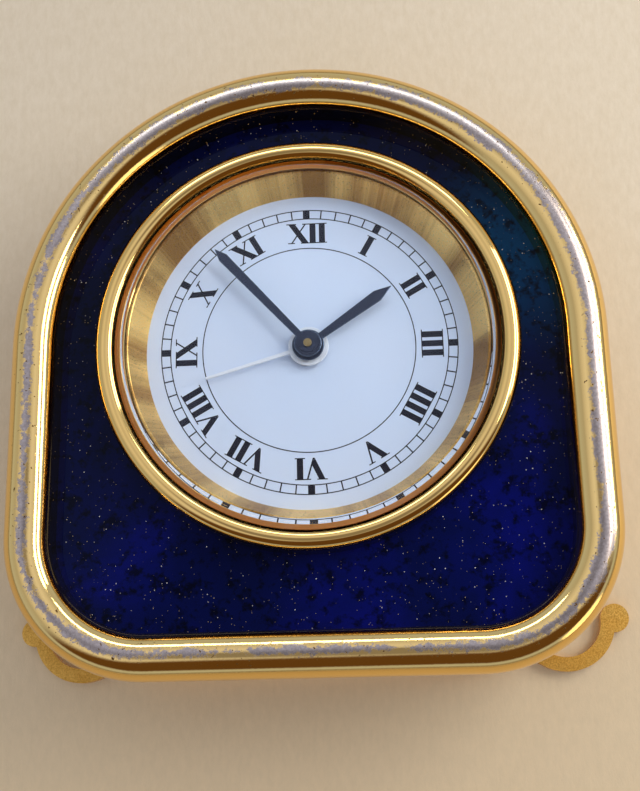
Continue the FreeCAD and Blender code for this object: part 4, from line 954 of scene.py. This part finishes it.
class ClockHands(bpy.types.Operator):
    """Hour, minute and alarm hands with bevelled edges"""
    bl_idname = "clock.hands"
    bl_label = "Hands"

    def blade(self, hand, points, hands, materials, slot):
        node = hand + "_hand"
        low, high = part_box(node)
        hub = getattr(hands, hand + "_hub")
        # The outline runs round the hub, from one side of the blade to the other
        gap = math.degrees(math.asin(points[0][0] / hub))
        outline = arc((0.0, 0.0), hub, 90 + gap, 450 - gap, 64) + points
        outline += [(-x, y) for x, y in reversed(points) if x > 0]
        turned = placed(outline, getattr(hands, hand + "_angle"))
        piece = flat_piece(node + "_blade", [turned], low[2], high[2] - low[2])
        bevel = piece.modifiers.new("edge", "BEVEL")
        bevel.width = hands.edge_bevel
        bevel.segments = 2
        bevel.limit_method = "ANGLE"
        bevel.angle_limit = math.radians(40)
        # The bevel takes the second finish, a lighter colour painted on as a highlight
        bevel.material = 1
        dress(piece, materials[0], hand, [node])
        piece.data.materials.append(materials[1])

    def execute(self, context):
        hands = context.scene.clock_hands
        dark = (finish(blued_hand), finish(hand_edge_highlight))
        for hand in ("minute", "hour"):
            root, root_at, shoulder, shoulder_at, tip = (
                getattr(hands, hand + "_" + place)
                for place in ("root", "root_at", "shoulder", "shoulder_at", "tip"))
            self.blade(hand, [(root, root_at), (shoulder, shoulder_at), (0.0, tip)],
                       hands, dark, "blued_steel")
        self.blade("alarm", [(hands.alarm_root, hands.alarm_root_at),
                             (hands.alarm_end, hands.alarm_tip)],
                   hands, (finish(silver_hand), finish(silver_hand)), "silver_paint")
        return {"FINISHED"}


class ClockStage(bpy.types.Operator):
    """Paper, soft lamps, surroundings and the camera of the photograph"""
    bl_idname = "clock.stage"
    bl_label = "Stage"

    def paper(self, stage, finishes):
        half = stage.paper_size / 2
        sheet = new_piece("paper_sheet", [(-half, -half, 0), (half, -half, 0), (half, half, 0),
                                          (-half, half, 0)], [(0, 1, 2, 3)])
        material, tree, shader, place = new_material("laid_beige_paper", Roughness=0.85,
                                                     Specular_IOR_Level=0.2)
        tone = noise(tree, place, 40.0, 3.0)
        lengthwise = add(tree, "ShaderNodeMapping", {"Vector": place, "Scale": (1.0, 0.4, 1.0)})
        fibres = noise(tree, lengthwise.outputs["Vector"], 1.1, 6.0, 0.75)
        tint = blend(tree, tone, finishes.paper, linear("DED0B6"))
        # Painted shade: the sheet is drawn darker and warmer towards its near edge
        along = add(tree, "ShaderNodeSeparateXYZ", {"Vector": place}).outputs["Y"]
        tint = blend(tree, ramp(tree, along, 0.03, -0.09), tint, linear("DCC49C"))
        tint = blend(tree, ramp(tree, fibres, 0.36, 0.64, 0.0, 0.32), tint, linear("C9B898"))
        relief(tree, shader, fibres, 0.35, 0.18)
        tree.links.new(tint, shader.inputs["Base Color"])
        # From below, and for shadows, the sheet is clear, so that the back can be seen
        below = add(tree, "ShaderNodeNewGeometry").outputs["Backfacing"]
        shadow = add(tree, "ShaderNodeLightPath").outputs["Is Shadow Ray"]
        see_through(tree, shader, math_node(tree, "MAXIMUM", below, shadow), linear("FFFFFF"))
        sheet.data.materials.append(material)

    def lamp(self, name, place, aim, width, height, power, colour):
        light = bpy.data.lights.new(name, "AREA")
        light.shape = "RECTANGLE"
        light.size = width
        light.size_y = height
        light.energy = power
        light.color = linear(colour)[:3]
        lamp = bpy.data.objects.new(name, light)
        lamp.location = place
        way = Vector((0.0, 0.0, aim)) - Vector(place)
        lamp.rotation_euler = way.to_track_quat("-Z", "Y").to_euler()
        lamp.visible_camera = False
        bpy.context.scene.collection.objects.link(lamp)
        return lamp

    def surroundings(self, stage):
        world = bpy.data.worlds.new("room")
        bpy.context.scene.world = world
        world.use_nodes = True
        tree = world.node_tree
        tree.nodes.clear()
        way = add(tree, "ShaderNodeTexCoord").outputs["Generated"]
        split = add(tree, "ShaderNodeSeparateXYZ", {"Vector": way})
        across, along, up = (split.outputs[axis] for axis in "XYZ")
        # From the horizon to the zenith: dark skirting, bluish walls, bright ceiling, dark lamp
        sky = add(tree, "ShaderNodeValToRGB", {"Fac": up}, stops=[
            (0.0, linear("86827C")), (0.04, linear("635D55")), (0.10, linear("737679")),
            (0.20, linear("8892A4")), (0.60, linear("828792")), (0.76, linear("989CAA")),
            (0.90, linear("A6ABBC")), (0.955, linear("989CAB")), (0.978, linear("66666D")),
        ]).outputs["Color"]
        # A dark brown part of the room, seen in reflections alone
        towards = math_node(tree, "MULTIPLY_ADD", across, 0.21,
                            math_node(tree, "MULTIPLY", along, -0.98))
        shade = math_node(tree, "MULTIPLY", ramp(tree, towards, 0.19, 0.42, smooth=True),
                          ramp(tree, up, 0.27, 0.42, smooth=True))
        mirrored = add(tree, "ShaderNodeLightPath").outputs["Is Glossy Ray"]
        warm = add(tree, "ShaderNodeMix", {"Factor": 1.0, 6: sky, 7: linear("FFF7EB")},
                   data_type="RGBA", blend_type="MULTIPLY").outputs[2]
        sky = blend(tree, mirrored, warm, sky)
        sky = blend(tree, math_node(tree, "MULTIPLY", shade, mirrored), sky, linear("45311A"))
        # A low bright opening to the right, seen in reflections alone
        opening = add(tree, "ShaderNodeVectorMath", {0: way, 1: (0.80, -0.58, 0.12)},
                      operation="DISTANCE").outputs["Value"]
        glow = math_node(tree, "MULTIPLY", ramp(tree, opening, 0.17, 0.26, 1.0, 0.0, smooth=True),
                         mirrored)
        sky = blend(tree, glow, sky, linear("FFF4DC"))
        # The light that falls on the pieces is 4 % brighter than what they mirror
        strength = ramp(tree, mirrored, 0.0, 1.0, stage.room_light * 1.04, stage.room_light)
        back = add(tree, "ShaderNodeBackground", {"Color": sky, "Strength": strength})
        add(tree, "ShaderNodeOutputWorld", {"Surface": back.outputs["Background"]})

    def execute(self, context):
        scene = context.scene
        stage = scene.clock_stage
        self.paper(stage, scene.clock_finishes)
        for name, place in (("window_low_lamp", (0.31, 0.11, 0.165)),
                            ("window_high_lamp", (0.25, 0.09, 0.275))):
            self.lamp(name, place, stage.aim_height, stage.pane_width, stage.pane_height,
                      stage.key_power, "FFFCF7")
        sky = self.lamp("sky_window_lamp", (0.0, 0.119, 0.142), stage.aim_height, 0.15, 0.028,
                        stage.sky_power, "EFF9FF")
        sky.visible_diffuse = False
        self.lamp("under_lamp", (0.0, 0.0, -0.5), 0.0, 0.5, 0.5, stage.under_power, "FFFFFF")
        self.surroundings(stage)
        camera_data = bpy.data.cameras.new("camera")
        camera_data.lens = stage.focal_length
        camera_data.sensor_width = 36.0
        camera_data.clip_start = 0.005
        camera = bpy.data.objects.new("camera", camera_data)
        camera.location = stage.camera_place
        camera.rotation_euler = Euler(stage.camera_turn)
        scene.collection.objects.link(camera)
        scene.camera = camera
        scene.view_settings.view_transform = "Standard"
        return {"FINISHED"}


class ClockPanel(bpy.types.Panel):
    """Sizes, finishes and steps of the clock"""
    bl_label = "Desk alarm clock"
    bl_idname = "VIEW3D_PT_desk_alarm_clock"
    bl_space_type = "VIEW_3D"
    bl_region_type = "UI"
    bl_category = "Clock"

    def draw(self, context):
        for name, group in GROUPS.items():
            box = self.layout.box()
            settings = getattr(context.scene, name)
            for key in group.__annotations__:
                box.prop(settings, key)
        for step in STEPS:
            self.layout.operator(step.bl_idname)


STEPS = (ClockNodes, ClockFrontFrame, ClockBezel, ClockDialPrint, ClockHands, ClockStage)


def register():
    for group in GROUPS.values():
        bpy.utils.register_class(group)
    for name, group in GROUPS.items():
        setattr(bpy.types.Scene, name, PointerProperty(type=group))
    for cls in STEPS + (ClockPanel,):
        bpy.utils.register_class(cls)


def unregister():
    for cls in reversed(STEPS + (ClockPanel,)):
        bpy.utils.unregister_class(cls)
    for name, group in GROUPS.items():
        delattr(bpy.types.Scene, name)
        bpy.utils.unregister_class(group)


def main():
    register()
    bpy.ops.clock.dress_nodes()
    bpy.ops.clock.front_frame()
    bpy.ops.clock.bezel()
    bpy.ops.clock.dial_print()
    bpy.ops.clock.hands()
    bpy.ops.clock.stage()


if __name__ == "__main__":
    main()
